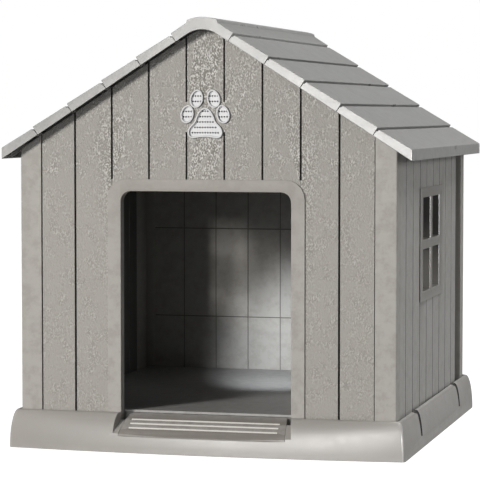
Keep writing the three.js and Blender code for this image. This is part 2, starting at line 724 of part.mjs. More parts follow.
/** Gable panel over the door, with the vent's openings. */
function frontGable() {
  const bottom = sleeveTop + fitGap;
  const edge = boardSeam - fitGap;
  const slab = faceSlab(-1, [-edge, edge], [bottom, roofTopClear]);
  const tongues = sides.map(({ side }) => faceTongue(-1,
    [side * (edge - 1), side * (boardSeam + tongueLength - fitGap)], [bottom, roofTopClear]));
  const ventTop = pawHeight + 27;
  const ventBottom = pawHeight - 40;
  const grooves = sides.flatMap(({ side }) => [
    ...faceGroove(-1, side * 1.5 * frontBoardPitch, [0, roofTopClear]),
    ...faceGroove(-1, side * 0.5 * frontBoardPitch, [ventTop, roofTopClear]),
    ...faceGroove(-1, side * 0.5 * frontBoardPitch, [0, ventBottom]),
    ...faceGroove(-1, side * boardSeam, [doorTop + doorTrimTop, roofTopClear]),
  ]);
  const web = cellWeb / 2;
  const outerCells = sides.flatMap(({ side }) => [
    faceCell(-1, [side * (1.5 * frontBoardPitch + web), side * (edge - cellWeb)],
      bottom, cellTopUnder(edge)),
    faceCell(-1, [side * (0.75 * frontBoardPitch), side * (1.5 * frontBoardPitch - web)],
      bottom, cellTopUnder(1.5 * frontBoardPitch)),
  ]);
  const middleCell = faceCell(-1, [-0.75 * frontBoardPitch + cellWeb, 0.75 * frontBoardPitch - cellWeb],
    bottom, pawHeight - 62);
  return cut(joined([slab, ...tongues]).intersect(underRoof),
    [...grooves, ...outerCells, middleCell, ...ventOpenings, ...capPilots]);
}

addPart(walls, 'front_gable_panel', frontGable(), boardPlastic);
addPart(walls, 'paw_vent_pad', ventInsert(padOutlineAt, padHoles), ventPlastic);
for (const { toe, side, name } of toes) {
  addPart(walls, `paw_vent_toe_${name}`,
    ventInsert((grow) => toeOutline(toe, side, grow), toeHoles({ toe, side })), ventPlastic);
}

// ---------------------------------------------------------------- door frame

/** Doorway outline, open at the bottom, grown outwards by side and top margins. */
function archway(growSide, growTop, radius, bottom) {
  const half = doorWidth / 2 + growSide;
  const top = doorTop + growTop;
  return [
    [-half, bottom], [half, bottom],
    ...arc([half - radius, top - radius], radius, 0, 90, 5),
    ...arc([radius - half, top - radius], radius, 90, 180, 5),
  ];
}

const doorTrim = prism('y', archway(doorTrimSide, doorTrimTop, doorTrimRadius, panelBottom),
  [inFrom(-1, 0), inFrom(-1, boardRecess - fitGap)]);
const doorLining = prism('y', archway(doorSleeve, doorSleeve, doorRadius + doorSleeve, panelBottom),
  [inFrom(-1, 1), inFrom(-1, wallThickness)]);
const doorOpening = prism('y', archway(0, 0, doorRadius, 0),
  [inFrom(-1, -cutPast), inFrom(-1, wallThickness + cutPast)]);
addPart(walls, 'door_frame', doorTrim.add(doorLining).subtract(doorOpening), smoothPlastic);

// ---------------------------------------------------------------- rear wall

const rearSeamX = 1.5 * frontBoardPitch;
const rearTongueTop = rearSeamHeight + tongueLength;

/** Lower rear panel between two edges. A tongue on its top stands in the upper panel's slot. */
function rearLower(x0, x1, { tongueLeft, tongueRight, slotLeft, slotRight }) {
  const heights = [panelBottom, rearSeamHeight - fitGap];
  const bodies = [
    faceSlab(1, [x0, x1], heights),
    faceTongue(1, [x0 + cellWeb, x1 - cellWeb], [rearSeamHeight - 1, rearTongueTop - fitGap]),
  ];
  if (tongueLeft) {
    bodies.push(faceTongue(1, [x0 - tongueLength, x0 + 1], heights));
  }
  if (tongueRight) {
    bodies.push(faceTongue(1, [x1 - 1, x1 + tongueLength], heights));
  }
  const tools = [];
  if (slotLeft) {
    tools.push(faceSlot(1, [x0 - cutPast, x0 + slotDepth], [0, rearSeamHeight + cutPast]));
  }
  if (slotRight) {
    tools.push(faceSlot(1, [x1 - slotDepth, x1 + cutPast], [0, rearSeamHeight + cutPast]));
  }
  const edges = [-3.5, -2.5, -1.5, -0.5, 0.5, 1.5, 2.5, 3.5].map((boards) => boards * frontBoardPitch);
  const web = cellWeb / 2;
  edges.filter((x) => x > x0 - grooveWidth && x < x1 + grooveWidth).forEach((x) => {
    tools.push(...faceGroove(1, x, [0, rearTongueTop - tongueLength]));
  });
  const stops = [x0, ...edges.filter((x) => x > x0 + cellWeb && x < x1 - cellWeb), x1];
  stops.slice(1).forEach((stop, i) => {
    const low = stops[i] + (i === 0 ? cellWeb : web);
    const high = stop - (i + 2 === stops.length ? cellWeb : web);
    tools.push(faceCell(1, [low, high], panelBottom, rearSeamHeight - cellWeb));
  });
  return cut(joined(bodies), tools);
}

const rearLowerPanels = [
  { name: 'left', from: -panelEdge, to: -rearSeamX - halfGap, joints: { tongueLeft: true, slotRight: true } },
  { name: 'middle', from: -rearSeamX + halfGap, to: rearSeamX - halfGap,
    joints: { tongueLeft: true, tongueRight: true } },
  { name: 'right', from: rearSeamX + halfGap, to: panelEdge, joints: { tongueRight: true, slotLeft: true } },
];
for (const { name, from, to, joints } of rearLowerPanels) {
  addPart(walls, `rear_panel_${name}`, rearLower(from, to, joints), boardPlastic);
}

/** Upper rear panel, up to the roof. */
function rearGable() {
  const heights = [rearSeamHeight, roofTopClear];
  const slab = faceSlab(1, [-panelEdge, panelEdge], heights);
  const tongues = sides.map(({ side }) => faceTongue(1,
    [side * (panelEdge - 1), side * (panelEdge + tongueLength)], heights));
  const slot = faceSlot(1, [-panelEdge + cellWeb - fitGap, panelEdge - cellWeb + fitGap],
    [rearSeamHeight - cutPast, rearTongueTop]);
  const edges = [0.5, 1.5, 2.5, 3.5].map((boards) => boards * frontBoardPitch);
  const grooves = edges.flatMap((x) => [-x, x].flatMap((place) => faceGroove(1, place, [0, roofTopClear])));
  const web = cellWeb / 2;
  const outer = [...edges.slice(1), panelEdge - web];
  const cells = edges.flatMap((x, i) => sides.map(({ side }) => faceCell(1,
    [side * (x + web), side * (outer[i] - web)], rearTongueTop, cellTopUnder(outer[i]))));
  const middle = faceCell(1, [-edges[0] + web, edges[0] - web], rearTongueTop, cellTopUnder(edges[0]));
  const wall = joined([slab, ...tongues]).intersect(underRoof);
  return cut(wall, [slot, ...grooves, ...cells, middle, ...capPilots]);
}

addPart(walls, 'rear_gable_panel', rearGable(), boardPlastic);

// ---------------------------------------------------------------- side walls and windows

const sidePanelFront = -halfDepth + postSideFront + fitGap;
const sidePanelRear = halfDepth - postSideRear - rearRecessWidth - fitGap;
const windowHalf = windowWidth / 2;
const windowSleeve = {
  y: [windowY - windowHalf + windowFlange, windowY + windowHalf - windowFlange],
  z: [windowBottom + windowFlange, windowTop - windowFlange],
};
const grown = ([low, high], by) => [low - by, high + by];
const sideGrooveCount = Math.floor((sidePanelRear + halfDepth - sideBoardStart) / sideBoardPitch) + 1;
const sideGrooves = Array.from({ length: sideGrooveCount }, (_, i) => (
  sideBoardStart + i * sideBoardPitch - halfDepth));

/** Side wall: boards between the posts, with the window's opening. */
function sidePanel(side) {
  const x = (inset) => side * (halfWidth - inset);
  const roofAt = (inset) => undersideAt(halfWidth - inset) - fitGap;
  const section = [
    [x(boardRecess), panelBottom], [x(boardRecess), roofAt(boardRecess)],
    [x(wallThickness), roofAt(wallThickness)], [x(wallThickness), panelBottom],
  ];
  const slab = prism('y', section, [sidePanelFront, sidePanelRear]);
  const tongueXs = tongueInset.map(x);
  const tongues = [
    box(tongueXs, [sidePanelFront - tongueLength, sidePanelFront + 1], [panelBottom, roofAt(0)]),
    box(tongueXs, [sidePanelRear - 1, sidePanelRear + tongueLength], [panelBottom, roofAt(0)]),
  ];
  const opening = box([x(-cutPast), x(wallThickness + cutPast)],
    grown(windowSleeve.y, fitGap), grown(windowSleeve.z, fitGap));
  const tall = [0, roofTopClear];
  const grooves = sideGrooves.flatMap((y) => [
    box([x(-cutPast), x(boardRecess + grooveDepth)], [y - grooveWidth / 2, y + grooveWidth / 2], tall),
    box([x(wallThickness - innerGrooveDepth), x(wallThickness + cutPast)],
      [y - innerGrooveWidth / 2, y + innerGrooveWidth / 2], tall),
  ]);
  const web = cellWeb / 2;
  const cellX = [x(boardRecess + panelSkin), x(wallThickness - panelSkin)];
  const cellTop = roofAt(0) - cellHeadroom;
  const stops = [sidePanelFront + web, ...sideGrooves, sidePanelRear - web];
  const cells = stops.slice(1).flatMap((stop, i) => {
    const ys = [stops[i] + web, stop - web];
    const besideWindow = ys[1] < windowSleeve.y[0] - fitGap || ys[0] > windowSleeve.y[1] + fitGap;
    const whole = [[panelBottom - cutPast, cellTop]];
    const split = [[panelBottom - cutPast, windowBottom - cellWeb], [windowSleeve.z[1] - 1, cellTop]];
    return (besideWindow ? whole : split).map((zs) => box(cellX, ys, zs));
  });
  const band = windowFlange + cellWeb;
  const stile = (y) => box(cellX, [y - band, y + band], [windowBottom - cellWeb, windowTop + cellWeb]);
  const stiles = joined([stile(windowSleeve.y[0] - band), stile(windowSleeve.y[1] + band)]);
  const shell = cut(joined([slab, ...tongues]), [...grooves, ...cells.map((cell) => cell.subtract(stiles))]);
  return shell.subtract(opening);
}

/** Window frame: a flange on the boards and a sleeve through the wall, divided by bars into four lights. */
function windowFrame(side) {
  const x = (inset) => side * (halfWidth - inset);
  const flange = box([x(0), x(boardRecess - fitGap)],
    [windowY - windowHalf, windowY + windowHalf], [windowBottom, windowTop]);
  const sleeve = box([x(1), x(wallThickness + retainerThickness)], windowSleeve.y, windowSleeve.z);
  const lightWidth = (windowWidth - 2 * windowBorderSide - windowBar) / 2;
  const lightHeight = (windowTop - windowBottom - 2 * windowBorderEnd - windowBar) / 2;
  const middleZ = (windowBottom + windowTop) / 2;
  const lights = [-1, 1].flatMap((face) => [-1, 1].map((level) => {
    const near = [windowY + face * windowBar / 2, windowY + face * (windowBar / 2 + lightWidth)];
    const tall = [middleZ + level * windowBar / 2, middleZ + level * (windowBar / 2 + lightHeight)];
    return box([x(-cutPast), x(wallThickness + retainerThickness + cutPast)], near, tall);
  }));
  return cut(flange.add(sleeve), lights);
}

/** Ring that clamps the window frame from inside. */
function windowRetainer(side) {
  const x = (inset) => side * (halfWidth - inset);
  const xs = [x(wallThickness + fitGap), x(wallThickness + fitGap + retainerThickness)];
  const plate = box(xs, [windowY - windowHalf, windowY + windowHalf], [windowBottom, windowTop]);
  const opening = box([x(wallThickness - cutPast), x(wallThickness + cutPast + retainerThickness)],
    grown(windowSleeve.y, fitGap), grown(windowSleeve.z, fitGap));
  return plate.subtract(opening);
}

for (const { name, side } of sides) {
  addPart(walls, `side_panel_${name}`, sidePanel(side), smoothPlastic);
  addPart(walls, `window_frame_${name}`, windowFrame(side), smoothPlastic);
  addPart(walls, `window_retainer_${name}`, windowRetainer(side), smoothPlastic);
}

// ---------------------------------------------------------------- roof

// Ribs of every roof piece: a lip at each end, a rib behind each gable wall, and even ones between
const tabRib = [tabInset, tabInset + roofWeb];
const innerRun = wallDepth - 2 * tabRib[1];
const cellCount = Math.round(innerRun / roofCellLength);
const cellRun = (innerRun - (cellCount - 1) * roofRib) / cellCount;
const roofCells = [
  [roofWeb - roofHalfLength, inFrom(-1, tabRib[0])],
  ...Array.from({ length: cellCount }, (_, i) => {
    const start = inFrom(-1, tabRib[1]) + i * (cellRun + roofRib);
    return [start, start + cellRun];
  }),
  [inFrom(1, tabRib[0]), roofHalfLength - roofWeb],
];

/** Roof piece from its section: hollowed cell by cell from below, with a locating tab at each gable. */
function roofPiece(section, cavity, tabs) {
  const body = prism('y', section, [-roofHalfLength, roofHalfLength]);
  const cells = roofCells.map((ys) => prism('y', cavity, ys));
  const plates = tabs.flatMap((outline) => ends.map(({ face }) => prism('y', outline,
    tabRib.map((inset) => inFrom(face, inset)))));
  return joined([cut(body, cells), ...plates]);
}

/** Outline of a locating tab under a slope, in the slope's own frame. */
const tabOutline = (middle) => [
  [middle - tabWidth / 2, 1], [middle - tabWidth / 2, -tabDrop],
  [middle + tabWidth / 2, -tabDrop], [middle + tabWidth / 2, 1],
];

/** Plank in its own frame: X down the slope from its upper joint, Z square to the slope. */
function roofPlank(index) {
  const last = index + 1 === planksPerSlope;
  const start = jointX[index] / Math.cos(roofPitch);
  const top = halfGap;
  const upperTop = plankThickness - plankLap;
  // Lower end at a height over the underside: square to the slope, or upright on the eave plank
  const endAt = (z, back) => (last
    ? (eaveX - back) / Math.cos(roofPitch) - z * slope - start
    : plankPitch / Math.cos(roofPitch) - halfGap - back);
  const lowerEnd = last
    ? [[endAt(0, 0), 0], [endAt(plankThickness, 0), plankThickness]]
    : [[endAt(0, 0), 0], [endAt(0, 0), plankThickness - plankNose], [endAt(0, plankNose), plankThickness]];
  const section = [
    [top, 0], ...lowerEnd,
    [top + shoulderRun, upperTop], [top + shoulderRun * 0.7, upperTop - 1],
    [top + shoulderRun * 0.55, upperTop - shoulderDrop], [top + 1, upperTop - shoulderDrop - 0.6],
  ];
  const inner = top + shoulderRun + 0.5;
  const cavity = [
    [inner, -cutPast], [endAt(-cutPast, roofWeb), -cutPast],
    [endAt(plankThickness - roofSkin, roofWeb), plankThickness - roofSkin], [inner, upperTop - roofSkin],
  ];
  const tab = plankTabX[index] / Math.cos(roofPitch) - start;
  return roofPiece(section, cavity, [tabOutline(tab)]);
}

for (const { name, side } of sides) {
  const slopeGroup = new THREE.Group();
  slopeGroup.position.z = ridgeLine;
  slopeGroup.rotation.set(0, roofPitch, side < 0 ? Math.PI : 0, 'ZYX');
  roof.add(slopeGroup);
  jointX.forEach((x, index) => {
    const plank = addPart(slopeGroup, `roof_plank_${name}_${index + 1}`, roofPlank(index), roofPlastic);
    plank.position.x = x / Math.cos(roofPitch);
  });
}

/** Point in the house's section from a distance down a slope and a height square to it. */
const onSlope = (s, t) => [
  s * Math.cos(roofPitch) + t * Math.sin(roofPitch),
  ridgeLine - s * Math.sin(roofPitch) + t * Math.cos(roofPitch),
];

/** Ridge cap: flanks in line with the planks, a raised roll along the top and a round arch beneath. */
function ridgeCap() {
  const end = capReach / Math.cos(roofPitch) - halfGap;
  const rollStart = (rollHalfWidth + 2 - plankThickness * Math.sin(roofPitch)) / Math.cos(roofPitch);
  const rollEdge = onSlope(rollStart, plankThickness)[1] + rollEdgeRise;
  const rollRadius = (rollHalfWidth ** 2 + rollRise ** 2) / (2 * rollRise);
  const rollCentre = rollEdge + rollRise - rollRadius;
  const rollAngle = THREE.MathUtils.radToDeg(Math.asin(rollHalfWidth / rollRadius));
  const roll = arc([0, rollCentre], rollRadius, 90 - rollAngle, 90, 4);
  const arch = arc([0, archCentre], archRadius, 90, 90 - pitchDegrees, archSteps / 2);
  const rightSide = [
    ...arch, onSlope(end, 0), onSlope(end, plankThickness - plankNose),
    onSlope(end - plankNose, plankThickness), onSlope(rollStart, plankThickness),
    ...roll.slice(0, -1),
  ];
  const section = [...rightSide, [0, rollEdge + rollRise], ...mirrored(rightSide.slice(1)).reverse()];
  const shellEnd = end - roofWeb;
  const shell = [
    onSlope(shellEnd, -1), onSlope(shellEnd, plankThickness - roofSkin),
    onSlope(rollStart, plankThickness - roofSkin),
  ];
  const crown = [0, rollEdge + rollRise - roofSkin];
  const cavity = [...shell, crown, ...mirrored(shell).reverse()];
  const tabS = capTabX / Math.cos(roofPitch);
  const tabs = [tabOutline(tabS).map(([s, t]) => onSlope(s, t))];
  tabs.push(mirrored(tabs[0]));
  const holes = sides.map(({ side }) => bar('y', [side * capScrewX, capScrewZ], holeRadius,
    [roofWeb + 1 - roofHalfLength, roofHalfLength - roofWeb - 1]));
  return cut(roofPiece(section, cavity, tabs), holes);
}

addPart(roof, 'ridge_cap', ridgeCap(), roofPlastic);

for (const { name, face, side } of fourCorners) {
  addScrew(roof, `cap_screw_${name}`, capScrewLength,
    [side * capScrewX, inFrom(face, capScrewInset), capScrewZ], [0, face, 0]);
}

export default house;
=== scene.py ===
"""Dresses a plastic dog house: boarded walls, flared base, lapped roof planks, ridge cap and paw vent.

Every piece is in metres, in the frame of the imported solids: +Z up, the doorway facing -Y, and the origin
on the ground under the middle of the walls. "Inset" is a distance inwards from the corner posts' faces.
"""

import json
import logging
import math
from dataclasses import dataclass, field
from enum import Enum
from typing import Any, Callable, ClassVar, Optional, Sequence

import bmesh
import bpy
from mathutils import Matrix, Vector
from mathutils.geometry import intersect_point_line

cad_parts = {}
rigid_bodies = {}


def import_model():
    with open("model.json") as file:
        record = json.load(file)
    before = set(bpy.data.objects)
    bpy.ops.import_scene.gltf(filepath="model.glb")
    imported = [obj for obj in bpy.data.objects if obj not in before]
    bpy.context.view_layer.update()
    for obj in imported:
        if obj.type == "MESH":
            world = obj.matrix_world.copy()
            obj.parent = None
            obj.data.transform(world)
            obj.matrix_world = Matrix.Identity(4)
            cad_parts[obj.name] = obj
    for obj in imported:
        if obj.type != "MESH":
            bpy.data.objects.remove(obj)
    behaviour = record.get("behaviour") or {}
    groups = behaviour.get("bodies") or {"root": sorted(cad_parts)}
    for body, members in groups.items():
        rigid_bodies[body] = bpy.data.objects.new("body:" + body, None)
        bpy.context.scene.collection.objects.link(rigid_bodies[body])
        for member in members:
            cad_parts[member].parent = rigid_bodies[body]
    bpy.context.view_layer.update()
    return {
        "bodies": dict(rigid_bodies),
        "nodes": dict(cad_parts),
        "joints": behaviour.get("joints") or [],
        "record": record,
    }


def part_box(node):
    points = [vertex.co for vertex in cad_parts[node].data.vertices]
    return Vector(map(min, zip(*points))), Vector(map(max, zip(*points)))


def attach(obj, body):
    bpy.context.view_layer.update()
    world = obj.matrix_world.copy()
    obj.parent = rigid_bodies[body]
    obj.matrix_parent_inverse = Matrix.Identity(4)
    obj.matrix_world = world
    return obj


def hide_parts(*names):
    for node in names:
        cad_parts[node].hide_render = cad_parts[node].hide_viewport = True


log = logging.getLogger("dog_house")

Colour = tuple[float, float, float]
Socket = bpy.types.NodeSocket
# Face attribute that holds how dark the painted shade is on each face.
PAINTED_SHADE_LAYER = "groove"


class Slot(Enum):
    """Slots of the record that the finishes name."""

    BASE = "base"
    TRIM = "trim"
    BOARDS = "boards"
    SIDE_BOARDS = "side_boards"
    ROOF = "roof"
    VENT = "vent"
    GRIP = "grip"
    FLOOR = "floor"


class Effect(Enum):
    """Shader node groups that several finishes share."""

    MOTTLE = "colour_mottle"
    RUB = "edge_rub"
    DUST = "settled_dust"
    SATIN = "satin_skin"
    BARK = "bark_emboss"
    BRUSHED = "brushed_skin"


class PaintedShade:
    """How dark the painted shade is in each kind of place where shade falls, from 0 on an open face to 1."""

    NONE = 0.0
    SOFFIT = 0.6
    INNER_GROOVE = 0.6
    RECESS = 0.7
    REVEAL = 0.72
    INNER_FACE = 0.85
    SLOT = 0.95
    GROOVE = 1.0


def linear(red: int, green: int, blue: int) -> Colour:
    """Turns a display colour of 0 to 255 into linear light.

    Args:
        red: Red of the display colour.
        green: Green of the display colour.
        blue: Blue of the display colour.

    Returns:
        The three channels in linear light, from 0 to 1.
    """
    def channel(value: int) -> float:
        """Returns one channel in linear light."""
        share = value / 255
        return share / 12.92 if share <= 0.04045 else ((share + 0.055) / 1.055) ** 2.4

    return channel(red), channel(green), channel(blue)


def shaded(colour: Colour, share: float = 1.0) -> tuple[float, ...]:
    """Returns a share of a colour, with full opacity, as a node takes it."""
    return (*(channel * share for channel in colour), 1.0)


# ---------------------------------------------------------------- materials


@dataclass
class NodeBench:
    """Adds and links nodes in one material or node group.

    Args:
        tree: The node tree that the nodes go into.
    """

    tree: bpy.types.NodeTree

    def add(self, kind: str, feeds: Optional[dict[Any, Any]] = None, **settings: Any) -> bpy.types.Node:
        """Adds a node.

        Args:
            kind: The node's type name.
            feeds: A socket or a value for each input, by the input's name or index.
            **settings: Values of the node's own properties.

        Returns:
            The new node.
        """
        node = self.tree.nodes.new(kind)
        for name, value in settings.items():
            setattr(node, name, value)
        for name, value in (feeds or {}).items():
            if isinstance(value, Socket):
                self.tree.links.new(value, node.inputs[name])
            else:
                node.inputs[name].default_value = value
        return node

    def maths(self, operation: str, first: Any, second: Any = 0.0) -> Socket:
        """Returns the result of a math node on two sockets or numbers."""
        return self.add("ShaderNodeMath", {0: first, 1: second}, operation=operation).outputs[0]

    def times(self, first: Any, second: Any) -> Socket:
        """Returns the product of two sockets or numbers."""
        return self.maths("MULTIPLY", first, second)

    def weighted(self, first: Any, share: float, second: Any, other: float) -> Socket:
        """Returns the sum of two values, each times its share."""
        return self.maths("ADD", self.times(first, share), self.times(second, other))

    def spread(self, value: Any, low: float, high: float, to_low: float = 0.0,
               to_high: float = 1.0) -> Socket:
        """Maps a range of a value smoothly on to another range.

        Args:
            value: The socket to map.
            low: Value that becomes to_low.
            high: Value that becomes to_high.
            to_low: Result at low and below.
            to_high: Result at high and above.

        Returns:
            The mapped socket.
        """
        feeds = {0: value, 1: low, 2: high, 3: to_low, 4: to_high}
        return self.add("ShaderNodeMapRange", feeds, interpolation_type="SMOOTHSTEP").outputs[0]

    def blend(self, share: Any, first: Any, second: Any) -> Socket:
        """Returns the mix of two colours by a share."""
        return self.add("ShaderNodeMix", {0: share, 6: first, 7: second}, data_type="RGBA").outputs[2]

    def scaled(self, vector: Any, scale: Sequence[float]) -> Socket:
        """Returns a vector stretched by a factor on each axis."""
        return self.add("ShaderNodeMapping", {"Vector": vector, "Scale": scale}).outputs[0]

    def part(self, vector: Any, axis: int) -> Socket:
        """Returns one axis of a vector."""
        return self.add("ShaderNodeSeparateXYZ", {0: vector}).outputs[axis]

    def noise(self, vector: Any, scale: Any, detail: float = 2.0, roughness: float = 0.5) -> Socket:
        """Returns fractal noise read at a vector."""
        feeds = {"Vector": vector, "Scale": scale, "Detail": detail, "Roughness": roughness}
        return self.add("ShaderNodeTexNoise", feeds).outputs[0]

    def surface(self, feeds: dict[str, Any]) -> None:
        """Makes a principled shader with its inputs fed the material's surface."""
        shader = self.add("ShaderNodeBsdfPrincipled", feeds)
        self.add("ShaderNodeOutputMaterial", {"Surface": shader.outputs[0]})


class EffectBook:
    """Builds each shared shader node group once, and places it."""

    DUST_TOP = 0.16
    BARK_DEEPENS = (0.56, 0.66)
    BARK_FACES = (0.440, 0.446)

    def __init__(self) -> None:
        """Starts with no group built."""
        self._built: dict[Effect, bpy.types.NodeTree] = {}

    def place(self, bench: NodeBench, effect: Effect, point: Any, second: Any) -> Any:
        """Places an effect's group in a material.

        Args:
            bench: The material's bench.
            effect: The effect.
            point: The point that it is read at.
            second: Its second input.

        Returns:
            The outputs of the group, by name.
        """
        if effect not in self._built:
            self._built[effect] = self._build(effect)
        return bench.add("ShaderNodeGroup", {0: point, 1: second}, node_tree=self._built[effect]).outputs

    def _build(self, effect: Effect) -> bpy.types.NodeTree:
        """Returns the new node group of an effect, whose recipe turns its two inputs into numbers."""
        recipe, second, kind = {
            Effect.MOTTLE: (self._mottle, "Scale", "NodeSocketFloat"),
            Effect.RUB: (self._rub, "Pointiness", "NodeSocketFloat"),
            Effect.DUST: (self._dust, "Facing", "NodeSocketVector"),
            Effect.SATIN: (self._satin, "Scale", "NodeSocketFloat"),
            Effect.BARK: (self._bark, "Scale", "NodeSocketFloat"),
            Effect.BRUSHED: (self._brushed, "Scale", "NodeSocketFloat"),
        }[effect]
        tree = bpy.data.node_groups.new(effect.value, "ShaderNodeTree")
        tree.interface.new_socket("Vector", in_out="INPUT", socket_type="NodeSocketVector")
        tree.interface.new_socket(second, in_out="INPUT", socket_type=kind)
        bench = NodeBench(tree)
        given = bench.add("NodeGroupInput").outputs
        results = recipe(bench, given[0], given[1])
        for name in results:
            tree.interface.new_socket(name, in_out="OUTPUT", socket_type="NodeSocketFloat")
        bench.add("NodeGroupOutput", results)
        return tree

    @staticmethod
    def _mottle(bench: NodeBench, point: Socket, scale: Socket) -> dict[str, Socket]:
        """Returns broad soft patches, with fainter small ones inside them."""
        broad = bench.noise(point, scale)
        small = bench.noise(point, bench.times(scale, 9.0), 3.0, 0.6)
        return {"Patch": bench.spread(bench.weighted(broad, 0.65, small, 0.35), 0.32, 0.68)}

    @staticmethod
    def _rub(bench: NodeBench, point: Socket, pointiness: Socket) -> dict[str, Socket]:
        """Returns a mask of outward edges, broken up by noise where hands and paws touch them."""
        edge = bench.spread(pointiness, 0.505, 0.56)
        worn = bench.spread(bench.noise(point, 45.0, 4.0, 0.65), 0.30, 0.62, 0.35, 1.0)
        return {"Mask": bench.times(edge, worn)}

    def _dust(self, bench: NodeBench, point: Socket, facing: Socket) -> dict[str, Socket]:
        """Returns a mask of dust: thickest near the ground and on faces that look up."""
        low = bench.spread(bench.part(point, 2), 0.0, self.DUST_TOP, 0.8, 0.0)
        upward = bench.spread(bench.part(facing, 2), 0.35, 1.0, 0.0, 0.7)
        cloud = bench.spread(bench.noise(point, 16.0, 5.0, 0.6), 0.38, 0.66, 0.15, 1.0)
        return {"Mask": bench.times(bench.maths("MAXIMUM", low, upward), cloud)}

    @staticmethod
    def _satin(bench: NodeBench, point: Socket, scale: Socket) -> dict[str, Socket]:
        """Returns the faint pebbled skin of a satin mould."""
        return {"Height": bench.weighted(bench.noise(point, scale), 1.0, bench.noise(point, 14.0), 0.3)}

    def _bark(self, bench: NodeBench, point: Socket, scale: Socket) -> dict[str, Socket]:
        """Returns embossed rough-sawn wood on the outer faces: pebbles and short upright flecks, with a mask
        for painted highlights and shade on them.
        """
        tall = bench.scaled(point, (1.0, 1.0, 0.62))
        pebbles = bench.noise(tall, scale, 2.0, 0.62)
        sawn = bench.noise(bench.scaled(point, (1.0, 1.0, 0.10)), bench.times(scale, 0.9))
        cells = bench.add("ShaderNodeTexVoronoi", {
            "Vector": tall, "Scale": bench.times(scale, 0.8), "Smoothness": 0.5}, feature="SMOOTH_F1")
        bead = bench.spread(cells.outputs["Distance"], 0.05, 0.38, 1.0, 0.0)
        patches = bench.spread(bench.noise(point, 22.0), 0.36, 0.64, 0.86, 0.94)
        deeper = bench.spread(bench.part(point, 2), *self.BARK_DEEPENS, 0.60, 1.0)
        outer = bench.spread(bench.maths("ABSOLUTE", bench.part(point, 1)), *self.BARK_FACES)
        depth = bench.times(bench.times(patches, deeper), outer)
        rough = bench.times(bench.weighted(bench.spread(pebbles, 0.34, 0.66), 1.0, bead, 0.55), depth)
        height = bench.maths("ADD", rough, bench.times(bench.times(sawn, 0.45), outer))
        # Mask of painted light on the relief: high on the pebbles' tops, painted as highlights, low between
        # them, painted as shade.
        painted_light = bench.spread(bench.weighted(pebbles, 0.85, sawn, 0.15), 0.44, 0.62)
        return {"Height": height, "Fleck": painted_light, "Depth": depth}

    @staticmethod
    def _brushed(bench: NodeBench, point: Socket, scale: Socket) -> dict[str, Socket]:
        """Returns long fine streaks, which the vector's stretch turns along a piece."""
        wide = bench.noise(point, bench.times(scale, 0.22))
        both = bench.weighted(bench.noise(point, scale, 3.0, 0.6), 0.7, wide, 0.6)
        return {"Height": both, "Streak": bench.spread(both, 0.45, 0.85)}


def start_material(name: str, colour: Colour) -> tuple[bpy.types.Material, NodeBench]:
    """Makes a material with no node in it.

    Args:
        name: Name of the material.
        colour: Its colour in a plain view.

    Returns:
        The material and a bench for its nodes.
    """
    made = bpy.data.materials.new(name)
    made.use_nodes = True
    made.diffuse_color = (*colour, 1.0)
    made.node_tree.nodes.clear()
    return made, NodeBench(made.node_tree)


